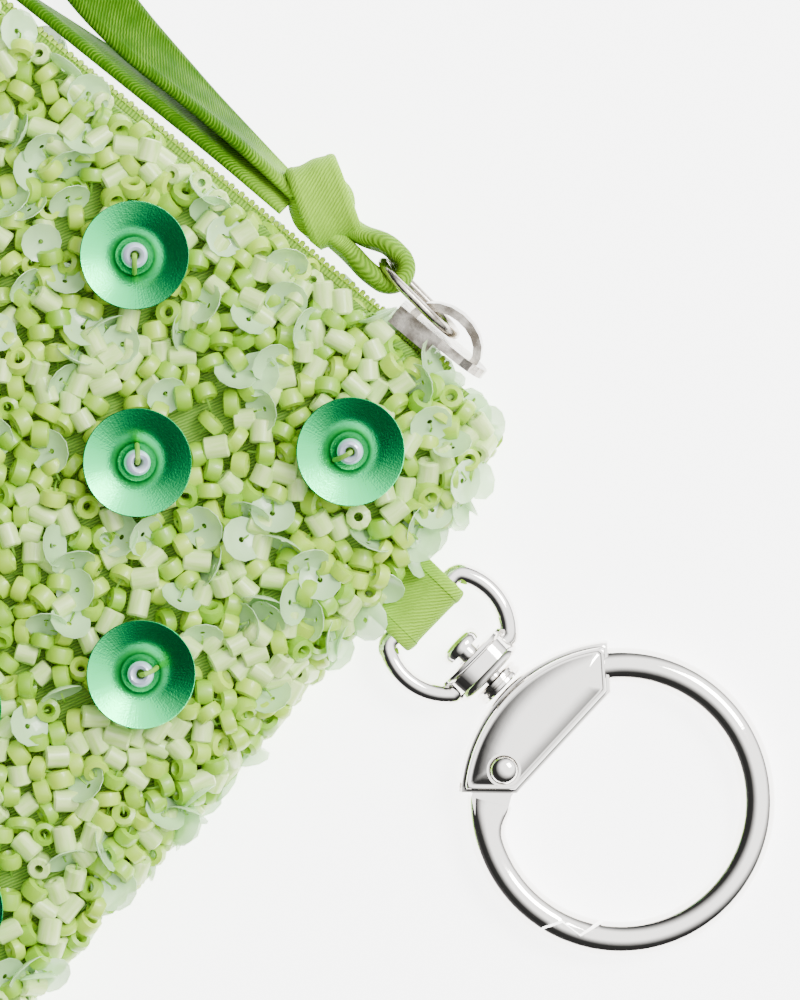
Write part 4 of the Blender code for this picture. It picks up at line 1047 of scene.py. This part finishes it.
chrome_rough = node(chrome_tree, "ShaderNodeMapRange", {
    "Value": chrome_noise.outputs["Fac"], "From Min": 0.35, "From Max": 0.7, "To Min": 0.035,
    "To Max": 0.12})
chrome_tree.links.new(chrome_rough.outputs["Result"], chrome_shader.inputs["Roughness"])
relief(chrome_tree, chrome_shader, chrome_noise.outputs["Fac"], 0.18, 0.00005)


def polar(radius, angle):
    """A point round the ring's centre, from millimetres and degrees."""
    turn = math.radians(angle)
    return (radius * math.cos(turn) / 1000, radius * math.sin(turn) / 1000)


# The eye's wire, from one side of the barrel round through the tab to the other
eye_half = ([(0.0076, 0.00285)] + arc((0.0033, 0.0), 0.0057, 41.0, 118.0, 26)
            + arc((0.00105, 0.00407), 0.00105, 128.0, 180.0, 6))
eye_path = [(x, y, 0.0) for x, y in eye_half] + [(x, -y, 0.0) for x, y in reversed(eye_half)]
eye_wire = tube(eye_path, EYE_WIRE, (0, 0, 1), 18)

# The barrel's rows, from the rivet's end: place along it, half width and half thickness.
# It is hollow, so the small first and last rows are its bore.
barrel_rows = ((6.2, 1.3, 1.3), (6.2, 3.3, 2.4), (6.28, 3.62, 2.66), (6.55, 3.72, 2.72),
               (6.72, 3.6, 2.6), (6.85, 3.42, 2.42), (8.2, 3.34, 2.36), (8.34, 3.5, 2.5),
               (8.72, 3.55, 2.56), (8.9, 3.4, 2.44), (8.98, 3.1, 2.2), (8.98, 1.3, 1.3))
barrel_rings = []
for x, half_y, half_z in barrel_rows:
    power = 1.0 if half_y < 2 else 0.76
    ring = []
    for step in range(40):
        turn = math.radians(9 * step)
        y = swell(math.cos(turn), power) * half_y
        z = swell(math.sin(turn), power) * half_z
        ring.append((x / 1000, y / 1000, z / 1000))
    barrel_rings.append(ring)
eye_mesh = combine([eye_wire, skin(barrel_rings, looped=True)])
eye_mesh.transform(clip)
eye = link("swivel_eye", eye_mesh, "eye", chrome)
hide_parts("d_eye")

# The post's rows are radius and place along it: rivet head, shank and two collars
post_profile = [(0.0, 4.2), (1.1, 4.22), (1.75, 4.4), (2.04, 4.72), (2.1, 5.1), (2.0, 5.5),
                (1.1, 5.6), (1.1, 9.3), (2.15, 9.33), (2.38, 9.46), (2.4, 9.72), (2.2, 9.84),
                (2.2, 9.92), (2.4, 10.04), (2.4, 10.3), (2.25, 10.46), (0.0, 10.48)]
POLE = 0.004
post_rings = []
for radius, x in post_profile:
    circle = [polar(max(radius, POLE), 10 * step) for step in range(36)]
    post_rings.append([(x / 1000, y, z) for y, z in circle])
post_mesh = skin(post_rings)
post_mesh.transform(clip)
post = link("swivel_rivet", post_mesh, "ring", chrome)
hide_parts("swivel_post")

# The leaf-shaped housing: a plain body with a raised cover, whose rim stands round a low
# dome. Its rings close on a line along the leaf's middle.
leaf_corners = ((-11.36, -9.8), (-7.52, -6.2), (-7.85, 6.65), (-11.36, 9.8))
leaf_back = arc((0.0, 0.0), LEAF_RADIUS / 1000, 139.2, 220.8, 40)[:-1]
leaf_outline = [(x * 1000, y * 1000) for x, y in leaf_back]
for (x0, y0), (x1, y1), steps in ((leaf_corners[0], leaf_corners[1], 12),
                                  (leaf_corners[1], leaf_corners[2], 26),
                                  (leaf_corners[2], leaf_corners[3], 12)):
    leaf_outline += [(x0 + (x1 - x0) * step / steps, y0 + (y1 - y0) * step / steps)
                     for step in range(steps)]


def leaf_depth(x, y):
    """How far inside the leaf's outline a point lies, in millimetres."""
    depths = [LEAF_RADIUS - math.hypot(x, y)]
    for (x0, y0), (x1, y1) in zip(leaf_corners, leaf_corners[1:]):
        length = math.hypot(x1 - x0, y1 - y0)
        depths.append(((y1 - y0) * (x0 - x) - (x1 - x0) * (y0 - y)) / length)
    return min(depths)


def leaf_ring(inset, height):
    """The leaf's outline drawn in by the inset, with even corners."""
    ring = []
    for x, y in leaf_outline:
        foot = (-10.5, max(-4.6, min(5.6, y)))
        low, high = 0.0, 1.0
        for turn in range(24):
            share = (low + high) / 2
            if leaf_depth(x + (foot[0] - x) * share, y + (foot[1] - y) * share) < inset:
                low = share
            else:
                high = share
        ring.append(((x + (foot[0] - x) * high) / 1000, (y + (foot[1] - y) * high) / 1000,
                     height / 1000))
    return ring


# Rows of inset and height: the body, its step, and the cover's rim
leaf_rows = ((0.5, -2.5), (0.14, -2.4), (0.0, -2.1), (0.0, 1.2), (0.1, 1.34), (0.34, 1.38),
             (0.42, 1.46), (0.43, 1.84), (0.5, 1.96), (0.64, 2.0), (0.76, 1.96), (0.8, 1.86),
             (0.86, 1.86))
leaf_rings = [leaf_ring(inset, height) for inset, height in leaf_rows]
dome_edge = leaf_rings[-1]
dome_inset, dome_foot = leaf_rows[-1]
dome_height = 0.58
dome_run = 2.2
for share in (0.06, 0.14, 0.24, 0.36, 0.5, 0.66, 0.84, 0.9995):
    ring = []
    for x, y, height in dome_edge:
        foot = (-0.0105, max(-0.0046, min(0.0056, y)))
        spot = (x + (foot[0] - x) * share, y + (foot[1] - y) * share)
        rise = min(1.0, (leaf_depth(spot[0] * 1000, spot[1] * 1000) - dome_inset) / dome_run)
        ring.append((*spot, (dome_foot + dome_height * (1 - (1 - rise) ** 2)) / 1000))
    leaf_rings.append(ring)
leaf_mesh = skin(leaf_rings)
pin_at = polar(11.38, 208.5)

# A slot takes the gate's root, and a sunk hole its rivet's head
slot_outline = arc(pin_at, 0.0026, 20, 240, 24) + arc(pin_at, 0.016, 245, 380, 12)
leaf_mesh = carve(leaf_mesh, plate(slot_outline, -0.0013, 0.0013))
leaf_mesh = carve(leaf_mesh, plate(arc(pin_at, 0.0016, 0, 350, 35), 0.0015, 0.004))

# The ring's wire ends in a stepped nose that the gate's hook closes on
nose = [polar(15.0, 282.2), polar(13.67, 282.9), polar(12.4, 288.0), polar(12.95, 297.2),
        polar(11.3, 305.5), polar(9.5, 307.0), polar(8.5, 300.0), polar(8.5, 262.0),
        polar(17.5, 262.0)]
ring_arc = arc((0.0, 0.0), RING_RADIUS / 1000, 145.0, -84.0, 150)
ring_path = [(x, y, 0.0) for x, y in ring_arc]
ring_wire = tube(ring_path, RING_WIRE / 1000, (0, 0, 1), 24)
ring_wire = carve(ring_wire, plate(nose, -0.004, 0.004))
ring_mesh = combine([leaf_mesh, ring_wire])
ring_mesh.transform(ring_place)
ring = link("ring_and_leaf", ring_mesh, "ring", chrome)
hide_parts("ring_frame")

# The gate's rivet, in rows of radius and height, with a domed head
pin_profile = ((0.0, -2.45), (0.8, -2.45), (0.8, 1.8), (1.32, 1.82), (1.38, 2.1), (1.3, 2.34),
               (1.05, 2.6), (0.7, 2.76), (0.35, 2.83), (0.0, 2.85))
pin_rings = []
for radius, height in pin_profile:
    circle = [polar(max(radius, POLE), 12 * step) for step in range(30)]
    pin_rings.append([(pin_at[0] + x, pin_at[1] + y, height / 1000) for x, y in circle])
pin_mesh = skin(pin_rings)
pin_mesh.transform(ring_place)
pin = link("gate_rivet", pin_mesh, "ring", chrome)
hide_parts("gate_pin")

# The gate starts as a flat-sided flare at the leaf and runs out into round wire
gate_start, gate_end = 222.2, 306.0
flare_middle, flare_half_width, flare_half_height, flare_power = 12.2, 2.0, 1.32, 0.7
gate_rings = []
for step in range(46):
    angle = gate_start + (gate_end - gate_start) * step / 45
    share = min(1.0, (angle - gate_start) / 20)
    share = share * share * (3 - 2 * share)
    middle = flare_middle + (RING_RADIUS - flare_middle) * share
    half_width = flare_half_width + (RING_WIRE - flare_half_width) * share
    half_height = flare_half_height + (RING_WIRE - flare_half_height) * share
    power = flare_power + (1.0 - flare_power) * share
    ring = []
    for turn in range(24):
        side = math.radians(15 * turn)
        out = swell(math.cos(side), power) * half_width
        up = swell(math.sin(side), power) * half_height
        lag = 1.3 * (13.6 - middle - out) * max(0.0, 1 - (angle - gate_start) / 14)
        x, y = polar(middle + out, angle + lag)
        ring.append((x, y, up / 1000))
    gate_rings.append(ring)
hook = [polar(15.0, 280.6), polar(13.6, 281.9), polar(12.24, 287.1), polar(12.78, 296.6),
        polar(11.2, 303.6), polar(9.5, 305.0), polar(8.5, 312.0), polar(17.5, 312.0),
        polar(17.5, 281.0)]
gate_wire = carve(skin(gate_rings), plate(hook, -0.004, 0.004))
root_outline = (arc(pin_at, 0.0022, -12, 218, 20)
                + [polar(13.6, 215), polar(13.95, 222), polar(13.6, 230), polar(11.7, 233),
                   polar(10.95, 230), polar(10.45, 226), polar(10.25, 221)])
root_half_height = 0.00115
root_bore = 0.001
gate_root = carve(plate(root_outline, -root_half_height, root_half_height),
                  plate(arc(pin_at, root_bore, 0, 345, 23), -0.002, 0.002))
gate_mesh = combine([gate_wire, gate_root])
gate_mesh.transform(ring_place)
gate = link("gate_arm", gate_mesh, "gate", chrome)
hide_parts("gate")
